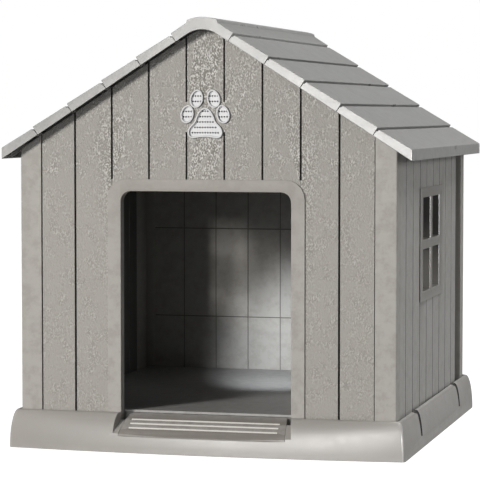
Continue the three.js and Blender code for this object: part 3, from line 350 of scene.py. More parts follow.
@dataclass(frozen=True)
class Finish:
    """A moulded plastic's colour, gloss and relief.

    Args:
        name: Name of the material.
        slot: The record's slot that it belongs to.
        colour: Base colour in linear light.
        roughness: Roughness of a clean face.
        relief: Fine relief of the mould.
        relief_scale: Size of the relief: noise cells in a metre.
        relief_depth: Height of the relief in metres.
        stretch: Factor on each axis of the relief's pattern: a small one draws it out along that axis.
        mottle: Share by which patches darken the colour.
        rub: Share by which rubbed edges turn paler.
        dust: Share by which dust covers the colour.
        specular: Strength of the plastic's mirror reflection.
    """

    name: str
    slot: Slot
    colour: Colour
    roughness: float
    relief: Effect = Effect.SATIN
    relief_scale: float = 900.0
    relief_depth: float = 0.00012
    stretch: tuple[float, float, float] = (1.0, 1.0, 1.0)
    mottle: float = 0.05
    rub: float = 0.12
    dust: float = 0.10
    specular: float = 0.5

    # Colour of the painted highlights on the emboss's pebbles.
    FLECK_COLOUR: ClassVar[Colour] = linear(216, 215, 212)
    DUST_COLOUR: ClassVar[Colour] = linear(176, 170, 158)
    # Near-black colour of the painted shade in grooves, slots, recesses, reveals, soffits and inner faces.
    GRIME_COLOUR: ClassVar[Colour] = linear(26, 24, 22)
    PATCH_SCALE: ClassVar[float] = 7.0

    def material(self, effects: EffectBook) -> bpy.types.Material:
        """Builds the material.

        Args:
            effects: The shared node groups.

        Returns:
            The finished material.
        """
        made, bench = start_material(self.name, self.colour)
        place = bench.add("ShaderNodeTexCoord").outputs
        point = place["Object"]
        pointiness = bench.add("ShaderNodeNewGeometry").outputs["Pointiness"]
        patch = effects.place(bench, Effect.MOTTLE, point, self.PATCH_SCALE)["Patch"]
        rubbed = effects.place(bench, Effect.RUB, point, pointiness)["Mask"]
        dusty = effects.place(bench, Effect.DUST, point, place["Normal"])["Mask"]
        relief = effects.place(bench, self.relief, bench.scaled(point, self.stretch), self.relief_scale)
        # How dark the painted shade is on this face, read from the face attribute.
        groove = bench.add("ShaderNodeAttribute", attribute_name=PAINTED_SHADE_LAYER).outputs["Fac"]

        tint = bench.blend(patch, shaded(self.colour, 1.0 - self.mottle), shaded(self.colour))
        # Painted highlights and shade on the emboss: paler on the pebbles' tops, darker between them,
        # strongest where the relief is deep.
        if self.relief is Effect.BARK:
            painted_relief_light = bench.blend(relief["Fleck"], shaded(self.colour, 0.76), shaded(self.FLECK_COLOUR))
            tint = bench.blend(relief["Depth"], tint, painted_relief_light)
        if self.relief is Effect.BRUSHED:
            tint = bench.blend(bench.times(relief["Streak"], 0.07), tint, shaded(self.colour, 0.55))
        paler = tuple(channel + (1.0 - channel) * self.rub for channel in self.colour)
        tint = bench.blend(rubbed, tint, shaded(paler))
        cover = bench.times(dusty, self.dust)
        tint = bench.blend(cover, tint, shaded(self.DUST_COLOUR))
        # Painted shade: darkens the colour towards near black by the face attribute.
        tint = bench.blend(bench.times(groove, 0.95), tint, shaded(self.GRIME_COLOUR))

        gloss = bench.spread(patch, 0.0, 1.0, self.roughness * 1.08, self.roughness * 0.94)
        gloss = bench.weighted(gloss, 1.0, cover, 0.35)
        gloss = bench.maths("ADD", gloss, bench.spread(groove, 0.75, 1.0, 0.0, 0.4))
        bump = bench.add("ShaderNodeBump", {
            "Strength": 1.0, "Distance": self.relief_depth, "Height": relief["Height"]})
        bench.surface({"Base Color": tint, "Roughness": gloss, "Normal": bump.outputs[0],
                       "Specular IOR Level": self.specular})
        return made


@dataclass(frozen=True)
class SteelFinish:
    """Zinc-plated steel of the screws.

    Args:
        colour: Colour of the plating in linear light.
        roughness: Roughness of the plating.
        spangles: Cells of the plating in a metre.
        patch_scale: Patches of its colour in a metre.
    """

    colour: Colour = linear(196, 198, 202)
    roughness: float = 0.32
    spangles: float = 900.0
    patch_scale: float = 160.0

    def material(self, effects: EffectBook) -> bpy.types.Material:
        """Builds the material.

        Args:
            effects: The shared node groups.

        Returns:
            The finished material.
        """
        made, bench = start_material("zinc_plated_steel", self.colour)
        point = bench.add("ShaderNodeTexCoord").outputs["Object"]
        cells = bench.add("ShaderNodeTexVoronoi", {"Vector": point, "Scale": self.spangles})
        patch = effects.place(bench, Effect.MOTTLE, point, self.patch_scale)["Patch"]
        tint = bench.blend(patch, shaded(self.colour, 0.78), shaded(self.colour))
        gloss = bench.spread(cells.outputs["Distance"], 0.0, 0.8, self.roughness * 0.8, self.roughness * 1.3)
        bench.surface({"Base Color": tint, "Roughness": gloss, "Metallic": 1.0})
        return made


class Paint:
    """The house's finishes, each made a material at its first use."""

    BARK_BOARDS = Finish(
        "embossed_boards", Slot.BOARDS, linear(143, 140, 134), 0.52, Effect.BARK,
        relief_scale=350.0, relief_depth=0.0008, mottle=0.0, rub=0.10, specular=0.12)
    SMOOTH_BOARDS = Finish(
        "smooth_boards", Slot.SIDE_BOARDS, linear(145, 143, 139), 0.46, mottle=0.02)
    TRIM = Finish(
        "corner_trim", Slot.TRIM, linear(145, 142, 136), 0.48, mottle=0.02, dust=0.05,
        specular=0.2)
    BASE = Finish(
        "base_plastic", Slot.BASE, linear(150, 147, 143), 0.36, mottle=0.02, specular=0.75)
    ROOF = Finish(
        "roof_plastic", Slot.ROOF, linear(148, 148, 146), 0.29, Effect.BRUSHED,
        relief_scale=260.0, relief_depth=0.00018, stretch=(1.0, 0.06, 1.0), mottle=0.03)
    WINDOW = Finish("window_frame", Slot.TRIM, linear(145, 143, 139), 0.32, mottle=0.02)
    THRESHOLD = Finish("threshold_plastic", Slot.BASE, linear(126, 122, 117), 0.40, mottle=0.02)
    VENT = Finish("vent_plastic", Slot.VENT, linear(189, 190, 192), 0.38, mottle=0.02, dust=0.03)
    GRIP = Finish("grip_plastic", Slot.GRIP, linear(222, 220, 215), 0.42, dust=0.15)
    FLOOR = Finish(
        "floor_plastic", Slot.FLOOR, linear(132, 131, 129), 0.45, Effect.BRUSHED,
        relief_scale=300.0, relief_depth=0.0003, stretch=(0.07, 1.0, 1.0), mottle=0.06, dust=0.08)
    STEEL = SteelFinish()

    def __init__(self) -> None:
        """Starts with no material made."""
        self._effects = EffectBook()
        self._made: dict[Any, bpy.types.Material] = {}

    def of(self, finish: Any) -> bpy.types.Material:
        """Returns the material of a finish."""
        if finish not in self._made:
            self._made[finish] = finish.material(self._effects)
        return self._made[finish]


# ---------------------------------------------------------------- moulded pieces


def split(bm: bmesh.types.BMesh, geom: Sequence[Any], axis: int, place: float) -> list[bmesh.types.BMEdge]:
    """Splits a part of a mesh by a plane.

    Args:
        bm: The mesh.
        geom: Its corners, edges and faces that are split.
        axis: Axis that the plane is square to.
        place: The plane's place on that axis.

    Returns:
        The edges along the cut.
    """
    square = Vector([float(index == axis) for index in range(3)])
    cut = bmesh.ops.bisect_plane(bm, geom=geom, dist=0.000001, plane_co=square * place, plane_no=square)
    return [part for part in cut["geom_cut"] if isinstance(part, bmesh.types.BMEdge)]


@dataclass(frozen=True)
class Rounding:
    """How a moulded piece's outward edges are rounded.

    Args:
        width: Rounding of the edges that main picks, in metres.
        fine: Rounding of the other edges.
        main: Says whether an edge, given by its two ends, is a main one.
        segments: Facets across a rounding.
    """

    width: float = 0.0015
    fine: float = 0.0006
    main: Callable[[Vector, Vector], bool] = lambda start, end: True
    segments: int = 2

    @classmethod
    def even(cls, width: float) -> "Rounding":
        """Returns the same rounding for every edge."""
        return cls(width=width, fine=width)


@dataclass
class Workshop:
    """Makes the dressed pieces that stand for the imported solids.

    Args:
        frame: The loaded frame.
        paint: The finishes.
    """

    frame: dict[str, Any]
    paint: Paint
    made: list[str] = field(default_factory=list)

    CREASE = math.radians(29)
    FLAT = math.radians(0.3)
    SHARE = 0.36
    REACH = 0.42
    BENT = math.radians(115)

    def finish_piece(self, name: str, bm: bmesh.types.BMesh, finish: Any, slot: Slot,
                     stands_for: Sequence[str]) -> bpy.types.Object:
        """Turns a mesh into a piece of the house.

        Args:
            name: Name of the piece.
            bm: Its mesh, which is freed.
            finish: Its finish.
            slot: The record's slot; not used.
            stands_for: The nodes that it stands for.

        Returns:
            The new object.
        """
        mesh = bpy.data.meshes.new(name)
        bm.to_mesh(mesh)
        bm.free()
        mesh.materials.append(self.paint.of(finish))
        piece = bpy.data.objects.new(name, mesh)
        bpy.context.scene.collection.objects.link(piece)
        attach(piece, "root")
        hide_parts(*stands_for)
        self.made.append(name)
        log.info("%s: %d faces", name, len(mesh.polygons))
        return piece

    @staticmethod
    def middle(node: str) -> Vector:
        """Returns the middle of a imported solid's box."""
        low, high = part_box(node)
        return (Vector(low) + Vector(high)) / 2

    def merged(self, node: str, cuts: Sequence[tuple[int, float]] = ()) -> bmesh.types.BMesh:
        """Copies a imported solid's mesh, its corners joined and its flat faces whole.

        Args:
            node: The solid's node.
            cuts: Planes that split faces with a hole, each as the axis it is square to and its place there.

        Returns:
            The new mesh.
        """
        bm = bmesh.new()
        bm.from_mesh(self.frame["nodes"][node].data)
        bmesh.ops.remove_doubles(bm, verts=bm.verts, dist=0.00003)
        for axis, place in cuts:
            for edge in split(bm, bm.verts[:] + bm.edges[:] + bm.faces[:], axis, place):
                edge.seam = True
        self._make_whole(bm)
        return bm

    def _make_whole(self, bm: bmesh.types.BMesh) -> None:
        """Joins the triangles of each flat face into one, unless a hole goes through it."""
        done: set[int] = set()
        regions = []
        bm.faces.index_update()
        for face in bm.faces:
            if face.index not in done:
                region = self._flat_region(face)
                done.update(other.index for other in region)
                if len(region) > 1 and self._has_plain_rim(region):
                    regions.append(sorted(region, key=lambda other: other.index))
        for region in regions:
            bmesh.ops.dissolve_faces(bm, faces=region, use_verts=False)
        straight = [vert for vert in bm.verts if len(vert.link_edges) == 2]
        bmesh.ops.dissolve_limit(bm, angle_limit=self.FLAT, verts=straight, edges=[])

    def _flat_region(self, start: bmesh.types.BMFace) -> set[bmesh.types.BMFace]:
        """Returns the faces that lie in one plane with a face and join on to it short of a seam."""
        region = {start}
        waiting = [start]
        while waiting:
            for edge in waiting.pop().edges:
                if edge.seam or len(edge.link_faces) != 2 or edge.calc_face_angle(0.0) > self.FLAT:
                    continue
                fresh = [face for face in edge.link_faces if face not in region]
                region.update(fresh)
                waiting.extend(fresh)
        return region

    @staticmethod
    def _has_plain_rim(region: set[bmesh.types.BMFace]) -> bool:
        """Returns whether the rim of a flat region is one loop that never touches itself."""
        beside: dict[bmesh.types.BMVert, list[bmesh.types.BMVert]] = {}
        for face in region:
            for edge in face.edges:
                if sum(other in region for other in edge.link_faces) == 1:
                    first, second = edge.verts
                    beside.setdefault(first, []).append(second)
                    beside.setdefault(second, []).append(first)
        if any(len(others) != 2 for others in beside.values()):
            return False
        start = next(iter(beside))
        before, here, steps = start, beside[start][0], 1
        while here is not start:
            ahead = beside[here][0] if beside[here][1] is before else beside[here][1]
            before, here, steps = here, ahead, steps + 1
        return steps == len(beside)

    def moulded(self, node: str, finish: Finish, rounding: Rounding,
                shade: Optional[Callable[[bmesh.types.BMFace], float]] = None,
                cuts: Sequence[tuple[int, float]] = (),
                carve: Optional[Callable[[bmesh.types.BMesh], None]] = None) -> bpy.types.Object:
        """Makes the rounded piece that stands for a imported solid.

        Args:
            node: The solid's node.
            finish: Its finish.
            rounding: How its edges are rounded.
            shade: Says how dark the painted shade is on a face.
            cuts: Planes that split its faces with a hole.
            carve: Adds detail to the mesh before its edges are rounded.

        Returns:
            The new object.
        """
        bm = self.merged(node, cuts)
        if carve:
            carve(bm)
        weights = bm.edges.layers.float.new("bevel_weight_edge")
        # Each face's painted shade, which the material darkens its colour by.
        painted_shade = bm.faces.layers.float.new(PAINTED_SHADE_LAYER)
        for face in bm.faces:
            face.smooth = False
            face[painted_shade] = shade(face) if shade else PaintedShade.NONE
        for edge in bm.edges:
            if len(edge.link_faces) != 2:
                continue
            if edge.calc_face_angle(0.0) < self.CREASE:
                if edge.calc_face_angle(0.0) > self.FLAT:
                    for face in edge.link_faces:
                        face.smooth = True
                continue
            edge.smooth = False
            if edge.calc_face_angle_signed(0.0) > 0 and not self._in_fan(edge):
                start, end = (vert.co for vert in edge.verts)
                width = rounding.width if rounding.main(start, end) else rounding.fine
                width = min(width, *(self._room(loop) for loop in edge.link_loops))
                edge[weights] = width / rounding.width
        piece = self.finish_piece(f"{node}_dressed", bm, finish, finish.slot, [node])
        bevel = piece.modifiers.new("rounding", "BEVEL")
        bevel.limit_method = "WEIGHT"
        bevel.width = rounding.width
        bevel.segments = rounding.segments
        bevel.use_clamp_overlap = False
        bevel.loop_slide = False
        return piece

    def _room(self, loop: bmesh.types.BMLoop) -> float:
        """Returns how wide the rounding of a loop's edge may be on the loop's face.

        The rounding stays short of the face's far side and of the far ends of the edges beside it.
        """
        face, start, end = loop.face, loop.vert.co, loop.link_loop_next.vert.co
        run = (end - start).normalized()
        inward = face.normal.cross(run)
        room = self.SHARE * face.calc_area() / max(side.calc_length() for side in face.edges)
        for corner, beside in ((loop, loop.link_loop_prev), (loop.link_loop_next, loop.link_loop_next)):
            if corner.calc_angle() < self.BENT:
                room = min(room, self.REACH * beside.edge.calc_length() * math.sin(corner.calc_angle()))
        other = loop.link_loop_next.link_loop_next
        while other is not loop.link_loop_prev and other is not loop:
            near, far = other.vert.co, other.link_loop_next.vert.co
            opposite = (far - near).normalized().dot(run) < -0.5
            if opposite and ((near + far) / 2 - start).dot(inward) > 0:
                for point, first, last in (
                        (near, start, end), (far, start, end), (start, near, far), (end, near, far)):
                    share = min(max(intersect_point_line(point, first, last)[1], 0.0), 1.0)
                    room = min(room, self.SHARE * (first.lerp(last, share) - point).length)
            other = other.link_loop_next
        return room

    def _in_fan(self, edge: bmesh.types.BMEdge) -> bool:
        """Returns whether an edge bounds a flat face that is still in triangles."""
        for face in edge.link_faces:
            for side in face.edges:
                flat = len(side.link_faces) == 2 and side.calc_face_angle(1.0) <= self.FLAT
                if flat and not side.seam:
                    return True
        return False


def upright(start: Vector, end: Vector, tall: float = 0.15) -> bool:
    """Returns whether an edge is an upright one that is taller than a length."""
    run = end - start
    return abs(run.z) > tall and abs(run.z) > 0.98 * run.length


# ---------------------------------------------------------------- sub-assemblies


@dataclass
class Assembly:
    """A group of pieces that are dressed together.

    Args:
        shop: Makes the pieces.
    """

    shop: Workshop


@dataclass
class BaseRing(Assembly):
    """Four rails of the base, the doorway's threshold and its grip strips.

    Args:
        lip_rounding: Rounding of the rails' edges.
        slot_floor: From the middle of the house to the floor of the slots between the rails.
        slot_edges: Places along the house between which a side rail ends at a slot, and the next rail starts.
        widening: How far the side rails, and the rails beside them, are drawn back from the slots.
        notch_end: Half of the doorway notch's width.
        notch_reach: How far the notch's flared end reaches along a rail.
        skirt_foot: Height from which the skirt's edges are broad and its slots are painted with shade.
    """

    lip_rounding: float = 0.0022
    slot_floor: float = 0.4325
    slot_edges: tuple[float, float, float] = (0.2600, 0.2660, 0.2750)
    widening: tuple[float, float] = (0.007, 0.004)
    notch_end: float = 0.192
    notch_reach: float = 0.013
    skirt_foot: float = 0.03

    SLOT_EDGES_LIE = (0.245, 0.29)
    SLOT_FACES_LIE = (0.24, 0.29)
    SLOT_FOOT = 0.027
    NEXT_RAIL = 0.2695

    def build(self) -> None:
        """Dresses the rails, the threshold and the grips."""
        rails = Rounding(width=self.lip_rounding, fine=0.0008, main=self._on_skirt)
        for node in ("base_front_rail", "base_rear_rail", "base_side_rail_left", "base_side_rail_right"):
            self.shop.moulded(node, Paint.BASE, rails, self._in_slot, carve=self._widen_slots)
        self.shop.moulded("door_threshold", Paint.THRESHOLD, Rounding.even(0.0012))
        for index in (1, 2, 3):
            self.shop.moulded(f"threshold_grip_{index}", Paint.GRIP, Rounding.even(0.0005))

    def _on_skirt(self, start: Vector, end: Vector) -> bool:
        """Returns whether an edge is a long one over the skirt's foot, clear of the notch and the slots."""
        middle = (start + end) / 2
        low, high = self.SLOT_EDGES_LIE
        at_notch = abs(abs(middle.x) - self.notch_end) < self.notch_reach
        at_slot = abs(middle.x) > self.slot_floor and low < abs(middle.y) < high
        long = (end - start).length > 0.012
        return long and min(start.z, end.z) > self.skirt_foot and not at_notch and not at_slot

    def _in_slot(self, face: bmesh.types.BMFace) -> float:
        """Returns how dark the painted shade is on a rail's face: darkest in the slots between the rails."""
        middle = face.calc_center_median()
        low, high = self.SLOT_FACES_LIE
        across = abs(face.normal.y) > 0.9 and abs(middle.x) > self.slot_floor and low < abs(middle.y) < high
        return PaintedShade.SLOT if across and middle.z > self.skirt_foot else PaintedShade.NONE

    def _widen_slots(self, bm: bmesh.types.BMesh) -> None:
        """Draws a rail's skirt back from the slots beside it.

        Args:
            bm: The rail's mesh.
        """
        near, middle, far = self.slot_edges
        for vert in bm.verts:
            place = abs(vert.co.y)
            if abs(vert.co.x) > self.slot_floor and vert.co.z > self.SLOT_FOOT and near < place < far:
                after = self.widening[1] if place > self.NEXT_RAIL else 0.0
                step = -self.widening[0] if place < middle else after
                vert.co.y += step * math.copysign(1.0, vert.co.y)


class FloorDeck(Assembly):
    """Two floor panels, the beam under their seam and their feet."""

    def build(self) -> None:
        """Dresses the floor's pieces."""
        for node in ("floor_panel_front", "floor_panel_rear", "floor_beam",
                     "floor_foot_front", "floor_foot_rear"):
            self.shop.moulded(node, Paint.FLOOR, Rounding.even(0.0012))


@dataclass
class Walls(Assembly):
    """Corner posts, boarded panels, door frame and windows.

    Args:
        half_width: Half of the width over the corner posts.
        half_depth: Half of the depth over the corner posts.
        board_inset: How far the boards' faces lie behind the posts'.
        groove_depth: Depth of the grooves between boards.
        recess: Depth of the set-back strip of a rear post.
        thickness: Thickness of the walls.
        inner_groove: Depth of the grooves on the inner face.
        light_offset: From a window's middle to the middle of a light beside it.
        scores: Heights of the level grooves on the rear wall's inner face.
        score_width: Width of those grooves.
        rebate: Width of the strip beside a front corner post that is set back like a groove.
        groove_wall: Run of the sloped wall of a cut groove.
    """

    half_width: float = 0.433
    half_depth: float = 0.4565
    board_inset: float = 0.003
    groove_depth: float = 0.0032
    recess: float = 0.012
    thickness: float = 0.025
    inner_groove: float = 0.0012
    light_offset: float = 0.062
    scores: tuple[float, ...] = (0.224, 0.4552)
    score_width: float = 0.0014
    rebate: float = 0.0014
    groove_wall: float = 0.0004

    SLACK = 0.00001
    INSET_SLACK = 0.0002

    def _grime(self, inset: float) -> float:
        """Returns how dark the painted shade is at an inset into a wall: darkest in the grooves of the outer
        face.
        """
        slack = self.INSET_SLACK
        if self.board_inset + slack < inset < self.board_inset + self.groove_depth + slack:
            return PaintedShade.GROOVE
        inner = self.thickness - self.inner_groove - slack < inset < self.thickness - slack
        return PaintedShade.INNER_GROOVE if inner else PaintedShade.NONE

    def _in_front_or_rear(self, face: bmesh.types.BMFace) -> float:
        """Returns how dark the painted shade is on a face of a front or rear panel."""
        return self._grime(self.half_depth - abs(face.calc_center_median().y))

    def _in_recess(self, face: bmesh.types.BMFace) -> float:
        """Returns how dark the painted shade is on a post's face: deep in the set-back strip of a rear post.
        """
        deep = abs(self.half_width - self.recess - abs(face.calc_center_median().x)) < 0.0005
        return PaintedShade.RECESS if deep and abs(face.normal.x) > 0.9 else PaintedShade.NONE

    def _in_reveal(self, face: bmesh.types.BMFace) -> float:
        """Returns how dark the painted shade is on a window's face: on the faces across the wall."""
        within = abs(face.calc_center_median().x) < self.half_width
        return PaintedShade.REVEAL if within and abs(face.normal.x) < 0.5 else PaintedShade.NONE

    def _in_side(self, face: bmesh.types.BMFace) -> float:
        """Returns how dark the painted shade is on a face of a side panel: its inner face is painted dark, as
        if in shade.
        """
        inset = self.half_width - abs(face.calc_center_median().x)
        return PaintedShade.INNER_FACE if inset > self.thickness - self.INSET_SLACK else self._grime(inset)

    def _at(self, vert: bmesh.types.BMVert, depth: float) -> bool:
        """Returns whether a corner lies at a place along the house."""
        return abs(vert.co.y - depth) < self.SLACK

    def _split(self, bm: bmesh.types.BMesh, depth: float, axis: int, place: float) -> None:
        """Splits the flat faces at a place along the house.

        Args:
            bm: The mesh.
            depth: The faces' place along the house.
            axis: Axis that the cut is square to.
            place: Its place on that axis.
        """
        faces = [face for face in bm.faces if all(self._at(vert, depth) for vert in face.verts)]
        edges = dict.fromkeys(edge for face in faces for edge in face.edges)
        verts = dict.fromkeys(vert for face in faces for vert in face.verts)
        split(bm, [*faces, *edges, *verts], axis, place)

    def _sink(self, bm: bmesh.types.BMesh, depth: float, step: float,
              chosen: Callable[[Vector], bool]) -> None:
        """Moves chosen corners of flat faces into the wall.

        Args:
            bm: The mesh.
            depth: The faces' place along the house.
            step: How far the corners move towards +Y.
            chosen: Says whether a corner moves.
        """
        sunk = [vert for vert in bm.verts if self._at(vert, depth) and chosen(vert.co)]
        bmesh.ops.translate(bm, verts=sunk, vec=(0.0, step, 0.0))

    def _rebate(self, bm: bmesh.types.BMesh) -> None:
        """Sets back the strip of a front panel that lies beside its corner post.

        Args:
            bm: The panel's mesh.
        """
        board = self.board_inset - self.half_depth
        edge = max((vert.co.x for vert in bm.verts if self._at(vert, board)), key=abs)
        start = edge - math.copysign(self.rebate, edge)
        for place in (start, start + math.copysign(self.groove_wall, edge)):
            self._split(bm, board, 0, place)
        self._sink(bm, board, self.groove_depth, lambda co: abs(co.x) > abs(start) + self.groove_wall / 2)

    def _score(self, bm: bmesh.types.BMesh) -> None:
        """Cuts the level grooves across the inner face of a rear panel.

        Args:
            bm: The panel's mesh.
        """
        inner = self.half_depth - self.thickness
        half = self.score_width / 2
        for height in self.scores:
            for step in (-half - self.groove_wall, -half, half, half + self.groove_wall):
                self._split(bm, inner, 2, height + step)
            self._sink(bm, inner, self.inner_groove, lambda co: abs(co.z - height) < half + self.SLACK)

    def build(self) -> None:
        """Dresses the walls' pieces."""
        posts = Rounding(width=0.0035, fine=0.001, main=self._outer_corner, segments=3)
        for end in ("front", "rear"):
            for side in ("left", "right"):
                self.shop.moulded(f"corner_post_{end}_{side}", Paint.TRIM, posts, self._in_recess)
        boards = Rounding(width=0.0011, fine=0.0008, main=upright)
        self.shop.moulded("rear_gable_panel", Paint.BARK_BOARDS, boards, self._in_front_or_rear)
        for side in ("left", "right"):
            self.shop.moulded(f"front_panel_{side}", Paint.BARK_BOARDS, boards, self._in_front_or_rear,
                              carve=self._rebate)
        for place in ("left", "middle", "right"):
            self.shop.moulded(f"rear_panel_{place}", Paint.BARK_BOARDS, boards, self._in_front_or_rear,
                              carve=self._score)
        vents = [(0, self.shop.middle(f"paw_vent_toe_inner_{side}").x) for side in ("left", "right")]
        self.shop.moulded("front_gable_panel", Paint.BARK_BOARDS, boards, self._in_front_or_rear, vents)
        for side in ("left", "right"):
            frame = f"window_frame_{side}"
            centre = self.shop.middle(frame).y
            lights = [(1, centre + turn * self.light_offset) for turn in (-1, 1)]
            self.shop.moulded(f"side_panel_{side}", Paint.SMOOTH_BOARDS, boards, self._in_side, [(1, centre)])
            self.shop.moulded(frame, Paint.WINDOW, self._window_rounding(frame), self._in_reveal, lights)
            self.shop.moulded(f"window_retainer_{side}", Paint.WINDOW, Rounding.even(0.0008),
                              cuts=[(1, centre)])
        self.shop.moulded("door_frame", Paint.TRIM, Rounding.even(0.0016))

    def _window_rounding(self, frame: str) -> Rounding:
        """Returns the rounding of a window frame, broad on the outer edges of its upright bars."""
        middle = self.shop.middle(frame)

        def on_bar(start: Vector, end: Vector) -> bool:
            """Returns whether an edge is an upright one within the frame's border."""
            level = abs((start.z + end.z) / 2 - middle.z) < 0.11
            within = abs((start.y + end.y) / 2 - middle.y) < 0.115
            outer = abs(start.x) > self.half_width - 0.004
            return level and within and outer and abs(end.z - start.z) > 0.03

        return Rounding(width=0.006, fine=0.0012, main=on_bar, segments=3)

    def _outer_corner(self, start: Vector, end: Vector) -> bool:
        """Returns whether an edge is the post's upright corner of the house."""
        off_side = abs(abs(start.x) - self.half_width)
        off_end = abs(abs(start.y) - self.half_depth)
        return max(off_side, off_end) < 0.001 and upright(start, end)


@dataclass
class PawVent(Assembly):
    """Paw-shaped vent: four toes and a main pad, each a round rim about a recessed grille.

    Args:
        height: Height of the outer toes' middles.
        half_depth: Half of the depth of the house over the corner posts.
        board_inset: How far the boards' faces lie behind the posts'.
        back_inset: How far the panel's inner face lies behind the posts'.
        proud: How far a rim stands out of the boards.
        rim: Width of a rim.
        sleeve: Wall of the sleeve that runs through the panel.
        grille_depth: From a rim's face to the grille.
        grille_thickness: Thickness of the grille.
        hole: Width of a hole.
        hole_pitch: From hole to hole in a row.
        row_pitch: From row to row.
        toe_half: Half of a toe's width and of its length.
        toe_tilt: Lean of a toe's upper end towards the middle of the paw's fan, in degrees.
        inner_toe: Place of an inner toe, from the middle between the outer toes.
        outer_toe: Place of an outer toe.
        pad: Right half of the pad's outline, from its top to its bottom.
        toe_steps: Points on a toe's outline.
        pad_steps: Points on the pad's outline.
        first_row: Height of the pad's first row of holes over the outer toes' middles.
        lap: How far a rim and its sleeve reach into the boards.
        rim_rounding: Rounding of a rim's edges.
    """

    height: float = 0.755
    half_depth: float = 0.4565
    board_inset: float = 0.003
    back_inset: float = 0.025
    proud: float = 0.0042
    rim: float = 0.004
    sleeve: float = 0.002
    grille_depth: float = 0.0045
    grille_thickness: float = 0.0024
    hole: float = 0.0041
    hole_pitch: float = 0.0059
    row_pitch: float = 0.0119
    toe_half: tuple[float, float] = (0.0153, 0.0208)
    toe_tilt: float = 13.0
    inner_toe: tuple[float, float] = (0.0195, 0.0341)
    outer_toe: tuple[float, float] = (0.041, 0.0)
    pad: tuple[tuple[float, float], ...] = (
        (0.0, 0.0146), (0.0115, 0.0092), (0.0196, -0.0035), (0.0255, -0.0175), (0.036, -0.0285),
        (0.0402, -0.0405), (0.0364, -0.0504), (0.027, -0.0538), (0.014, -0.0516), (0.0, -0.0509))
    toe_steps: int = 48
    pad_steps: int = 96
    first_row: float = 0.0064
    lap: float = 0.0003
    rim_rounding: float = 0.0013

    HOLE_SIDES = 8

    def build(self) -> None:
        """Makes the toes and the pad."""
        pad_rows = [(0.0, self.first_row - row * self.row_pitch, 3 + 2 * row) for row in range(5)]
        self._insert("paw_vent_pad", self.pad_steps, self._pad_point, pad_rows)
        for side, name in ((-1, "left"), (1, "right")):
            for toe, (across, up) in (("inner", self.inner_toe), ("outer", self.outer_toe)):
                def toe_point(share: float, grow: float, across: float = side * across,
                              up: float = up, lean: float = -side * self.toe_tilt) -> tuple[float, float]:
                    """Returns a point of this toe's outline."""
                    return self._toe_point(share, grow, (across, up), lean)

                rows = [(side * across, up + (0.5 - row) * self.row_pitch, 4) for row in range(2)]
                self._insert(f"paw_vent_toe_{toe}_{name}", self.toe_steps, toe_point, rows)

    def _toe_point(self, share: float, grow: float, middle: tuple[float, float],
                   lean: float) -> tuple[float, float]:
        """Finds a point of a toe's egg-shaped outline.

        Args:
            share: How far round the outline it is, from 0 to 1.
            grow: How far outside the outline.
            middle: The toe's middle, across and up.
            lean: Turn of the toe, in degrees.

        Returns:
            The point's place across the house, and up from the outer toes' middles.
        """
        turn = 2 * math.pi * share
        taper = 1 - 0.06 * math.sin(turn)
        point = Vector(((self.toe_half[0] + grow) * math.cos(turn) * taper,
                        (self.toe_half[1] + grow) * math.sin(turn)))
        point.rotate(Matrix.Rotation(-math.radians(lean), 2))
        return middle[0] + point.x, middle[1] + point.y

    def _pad_point(self, share: float, grow: float) -> tuple[float, float]:
        """Finds a point of the pad's outline, a smooth curve through its named points.

        Args:
            share: How far round the outline it is, from 0 to 1.
            grow: How far outside the outline.

        Returns:
            The point's place across the house, and up from the outer toes' middles.
        """
        around = [*self.pad, *((-across, up) for across, up in reversed(self.pad[1:-1]))]
        place = share * len(around)
        index = int(place) % len(around)
        knots = [Vector(around[(index + step) % len(around)]) for step in (-1, 0, 1, 2)]
        tangents = ((knots[2] - knots[0]) / 2, (knots[3] - knots[1]) / 2)
        t = place - int(place)
        point = (knots[1] * (2 * t ** 3 - 3 * t ** 2 + 1) + tangents[0] * (t ** 3 - 2 * t ** 2 + t)
                 + knots[2] * (3 * t ** 2 - 2 * t ** 3) + tangents[1] * (t ** 3 - t ** 2))
        run = (knots[1] * (6 * t ** 2 - 6 * t) + tangents[0] * (3 * t ** 2 - 4 * t + 1)
               + knots[2] * (6 * t - 6 * t ** 2) + tangents[1] * (3 * t ** 2 - 2 * t)).normalized()
        return point.x - run.y * grow, point.y + run.x * grow

    @staticmethod
    def _is_hoop(edge: bmesh.types.BMEdge) -> bool:
        """Tells an edge that runs round a lathed ring from one that runs across it."""
        near, far = (math.hypot(vert.co.x, vert.co.z) for vert in edge.verts)
        return abs(near - far) < 1e-5 and abs(edge.verts[0].co.y - edge.verts[1].co.y) < 1e-6

